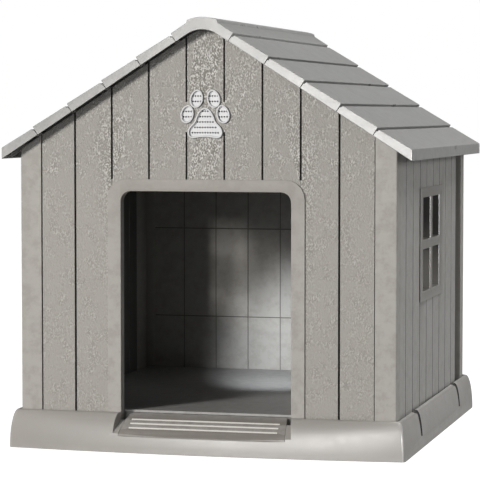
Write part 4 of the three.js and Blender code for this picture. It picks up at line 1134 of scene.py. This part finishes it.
    def _insert(self, node: str, steps: int, point: Callable[[float, float], tuple[float, float]],
                rows: Sequence[tuple[float, float, int]]) -> None:
        """Makes one insert: a rim, its sleeve through the panel, and the grille across it.

        Args:
            node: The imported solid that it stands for.
            steps: Points on its outline.
            point: Gives a point of the outline from a share of it and a growth.
            rows: Rows of holes, each as its middle across, its height and its number of holes.
        """
        front = -self.half_depth + self.board_inset
        face, back = front - self.proud, -self.half_depth + self.back_inset
        inner, outer = -self.rim, self.sleeve - self.rim
        bm = bmesh.new()
        start = front - self.lap
        profile = [(0.0, start), (0.0, face), (inner, face), (inner, back), (outer, back), (outer, start)]
        corners = [bm.verts.new((1 + grow, place, 0.0)) for grow, place in profile]
        wires = [bm.edges.new(pair) for pair in zip(corners, corners[1:] + corners[:1])]
        bmesh.ops.spin(bm, geom=corners + wires, cent=(0.0, 0.0, 0.0), axis=(0.0, -1.0, 0.0),
                       angle=2 * math.pi, steps=steps, use_merge=True)
        at_face = (edge for edge in bm.edges if abs(edge.verts[0].co.y - face) < 1e-6)
        hoops = [edge for edge in at_face if self._is_hoop(edge)]
        bmesh.ops.bevel(bm, geom=hoops, offset=self.rim_rounding, offset_type="OFFSET", segments=3,
                        profile=0.5, affect="EDGES", material=-1)
        for vert in bm.verts:
            share = (math.atan2(vert.co.z, vert.co.x) / (2 * math.pi)) % 1.0
            across, up = point(share, math.hypot(vert.co.x, vert.co.z) - 1)
            vert.co = (across, vert.co.y, self.height + up)
        for side in bm.faces:
            side.smooth = True

        rim = bmesh.ops.create_circle(bm, segments=steps, radius=1.0)["verts"]
        for index, vert in enumerate(rim):
            across, up = point(index / steps, outer - self.sleeve / 2)
            vert.co = (across, face + self.grille_depth, self.height + up)
        edges = list(dict.fromkeys(edge for vert in rim for edge in vert.link_edges))
        for across, up, count in rows:
            for index in range(count):
                spot = (across + (index - (count - 1) / 2) * self.hole_pitch, face + self.grille_depth,
                        self.height + up)
                turn = Matrix.Translation(spot) @ Matrix.Rotation(math.pi / 2, 4, "X")
                turn = turn @ Matrix.Rotation(math.pi / self.HOLE_SIDES, 4, "Z")
                verts = bmesh.ops.create_circle(bm, segments=self.HOLE_SIDES, radius=self.hole / 2,
                                                matrix=turn)["verts"]
                edges += dict.fromkeys(edge for vert in verts for edge in vert.link_edges)
        filled = bmesh.ops.triangle_fill(bm, use_beauty=True, use_dissolve=False, edges=edges,
                                         normal=(0.0, -1.0, 0.0))["geom"]
        plate = [part for part in filled if isinstance(part, bmesh.types.BMFace)]
        grown = bmesh.ops.extrude_face_region(bm, geom=plate)["geom"]
        moved = [part for part in grown if isinstance(part, bmesh.types.BMVert)]
        bmesh.ops.translate(bm, verts=moved, vec=(0.0, self.grille_thickness, 0.0))
        bmesh.ops.recalc_face_normals(bm, faces=bm.faces)
        # Painted shade on the walls of the holes, so that they read dark.
        painted_shade = bm.faces.layers.float.new(PAINTED_SHADE_LAYER)
        for wall in {wall for vert in moved for wall in vert.link_faces if abs(wall.normal.y) < 0.5}:
            wall[painted_shade] = PaintedShade.GROOVE
        self.shop.finish_piece(f"{node}_dressed", bm, Paint.VENT, Slot.VENT, [node])


@dataclass
class Roof(Assembly):
    """Five lapped planks on each slope and the ridge cap.

    Args:
        planks: Planks on a slope.
        cap_flank: From the middle of the house to the middle of the ridge cap's flank.
    """

    planks: int = 5
    cap_flank: float = 0.047

    @staticmethod
    def _soffit(face: bmesh.types.BMFace) -> float:
        """Returns how dark the painted shade is on a plank's face: on the faces that look down, under the
        plank.
        """
        return PaintedShade.SOFFIT if face.normal.z < -0.5 else PaintedShade.NONE

    def build(self) -> None:
        """Dresses the planks and the cap."""
        edges = Rounding(width=0.0011, fine=0.0007, main=lambda start, end: (end - start).length > 0.02)
        for side in ("left", "right"):
            for index in range(1, self.planks + 1):
                node = f"roof_plank_{side}_{index}"
                self.shop.moulded(node, Paint.ROOF, edges, self._soffit, [(0, self.shop.middle(node).x)])
        flanks = [(0, side * self.cap_flank) for side in (-1, 1)]
        self.shop.moulded("ridge_cap", Paint.ROOF, edges, cuts=flanks)


class Fasteners(Assembly):
    """Screws under the corner posts and in the ridge cap's tabs."""

    def build(self) -> None:
        """Gives the screws their plating."""
        for name, node in self.shop.frame["nodes"].items():
            if "screw" in name:
                node.data.materials.clear()
                node.data.materials.append(self.shop.paint.of(Paint.STEEL))
                log.info("%s: plated", name)


# ---------------------------------------------------------------- studio


def aim_lamp(light: bpy.types.Light, place: Sequence[float], target: Sequence[float]) -> bpy.types.Object:
    """Sets up a lamp.

    Args:
        light: Its light.
        place: Its place.
        target: The point that it faces.

    Returns:
        The lamp.
    """
    lamp = bpy.data.objects.new(light.name, light)
    lamp.location = place
    lamp.rotation_euler = (Vector(target) - Vector(place)).to_track_quat("-Z", "Y").to_euler()
    bpy.context.scene.collection.objects.link(lamp)
    return lamp


@dataclass(frozen=True)
class Softbox:
    """A square softbox.

    Args:
        name: Name of the lamp.
        place: Its middle.
        target: The point that it faces.
        size: Length of its side in metres.
        watts: Its power.
        colour: Its colour in linear light.
        diffuse: Whether it lights surfaces.
        glossy: Whether it shows in mirror reflections.
    """

    name: str
    place: tuple[float, float, float]
    target: tuple[float, float, float]
    size: float
    watts: float
    colour: Colour = (1.0, 1.0, 1.0)
    diffuse: bool = True
    glossy: bool = True

    def build(self) -> None:
        """Sets up the lamp."""
        light = bpy.data.lights.new(self.name, "AREA")
        light.shape = "SQUARE"
        light.size = self.size
        light.energy = self.watts
        light.color = self.colour
        lamp = aim_lamp(light, self.place, self.target)
        lamp.visible_diffuse = self.diffuse
        lamp.visible_glossy = self.glossy


@dataclass
class Studio:
    """Pale floor, soft light and the camera.

    Args:
        eye: The camera's place.
        yaw: Turn of its view to the left of +Y, in degrees.
        pitch: Tilt of its view downwards, in degrees.
        lens: Focal length in millimetres on a 36 mm wide sensor.
        sky: Strength of the white surroundings.
        floor_size: Half of the length of the floor's side.
        floor_drop: How far the floor lies under the house.
        floor_glow: How bright the camera sees the floor.
    """

    eye: tuple[float, float, float] = (1.342, -5.2799, 0.7587)
    yaw: float = 14.66
    pitch: float = 3.23
    lens: float = 169.5
    sky: float = 0.11
    floor_size: float = 30.0
    floor_drop: float = 0.0006
    floor_glow: float = 0.97

    SOFTBOXES: ClassVar[tuple[Softbox, ...]] = (
        Softbox("key_softbox", (-5.71, -8.56, 3.06), (0.0, -0.4, 0.45), 2.0, 1165.0, (1.0, 0.975, 0.945),
                glossy=False),
        Softbox("top_softbox", (1.6, 0.5, 4.9), (0.2, 0.0, 0.6), 2.4, 180.0),
        Softbox("side_softbox", (5.0, 0.6, 1.9), (0.4, 0.0, 0.4), 2.0, 78.0),
        Softbox("sheen_softbox", (-0.42, -5.9, 1.25), (0.2, -0.45, 0.75), 1.9, 258.0, (1.0, 0.99, 0.98),
                diffuse=False),
        Softbox("glint_softbox", (3.6, -4.2, 0.9), (0.44, -0.08, 0.45), 1.2, 260.0, diffuse=False),
    )

    def build(self) -> None:
        """Sets up the floor, the lights and the camera."""
        self._floor()
        self._surroundings()
        for softbox in self.SOFTBOXES:
            softbox.build()
        self._cabin_lamp()
        self._camera()
        view = bpy.context.scene.view_settings
        view.view_transform = "Standard"
        view.look = "None"

    @staticmethod
    def _seen(bench: NodeBench, unseen: float, seen: float) -> Socket:
        """Returns a number that differs between what the camera sees and what lights the house."""
        camera_ray = bench.add("ShaderNodeLightPath").outputs["Is Camera Ray"]
        return bench.spread(camera_ray, 0.0, 1.0, unseen, seen)

    def _floor(self) -> None:
        """Lays the pale floor."""
        bm = bmesh.new()
        bmesh.ops.create_grid(bm, x_segments=1, y_segments=1, size=self.floor_size,
                              matrix=Matrix.Translation((0.0, 0.0, -self.floor_drop)))
        mesh = bpy.data.meshes.new("pale_floor")
        bm.to_mesh(mesh)
        bm.free()
        made, bench = start_material("pale_floor", (0.30, 0.30, 0.30))
        bench.surface({
            "Base Color": made.diffuse_color[:], "Roughness": 0.85, "Specular IOR Level": 0.1,
            "Emission Color": (1.0, 1.0, 1.0, 1.0),
            "Emission Strength": self._seen(bench, 0.0, self.floor_glow)})
        mesh.materials.append(made)
        floor = bpy.data.objects.new("pale_floor", mesh)
        bpy.context.scene.collection.objects.link(floor)

    def _surroundings(self) -> None:
        """Surrounds the scene with soft white light."""
        world = bpy.data.worlds.new("white_surroundings")
        world.use_nodes = True
        world.node_tree.nodes.clear()
        bench = NodeBench(world.node_tree)
        strength = self._seen(bench, self.sky, 1.0)
        sky = bench.add("ShaderNodeBackground", {"Color": (1.0, 1.0, 1.0, 1.0), "Strength": strength})
        bench.add("ShaderNodeOutputWorld", {"Surface": sky.outputs[0]})
        bpy.context.scene.world = world

    @staticmethod
    def _cabin_lamp() -> None:
        """Lights the low part of the rear wall from over the doorway."""
        light = bpy.data.lights.new("cabin_spot", "SPOT")
        light.energy = 41.0
        light.color = (0.92, 0.955, 1.0)
        light.spot_size = math.radians(44.0)
        light.spot_blend = 1.0
        light.shadow_soft_size = 0.03
        aim_lamp(light, (-0.06, -0.38, 0.40), (0.08, 0.43, 0.10))

    def _camera(self) -> None:
        """Places the camera at the photograph's view."""
        lens = bpy.data.cameras.new("camera")
        lens.sensor_fit = "HORIZONTAL"
        lens.sensor_width = 36.0
        lens.lens = self.lens
        lens.clip_end = 100.0
        camera = bpy.data.objects.new("camera", lens)
        camera.location = self.eye
        camera.rotation_euler = (math.radians(90 - self.pitch), 0.0, math.radians(self.yaw))
        bpy.context.scene.collection.objects.link(camera)
        bpy.context.scene.camera = camera


def main() -> None:
    """Dresses the house and sets up the studio."""
    logging.basicConfig(level=logging.INFO, format="%(name)s: %(message)s")
    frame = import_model()
    shop = Workshop(frame, Paint())
    for assembly in (BaseRing, FloorDeck, Walls, PawVent, Roof, Fasteners):
        log.info("building %s", assembly.__name__)
        assembly(shop).build()
    Studio().build()
    bpy.context.view_layer.update()
    log.info("%d pieces dressed", len(shop.made))


if __name__ == "__main__":
    main()
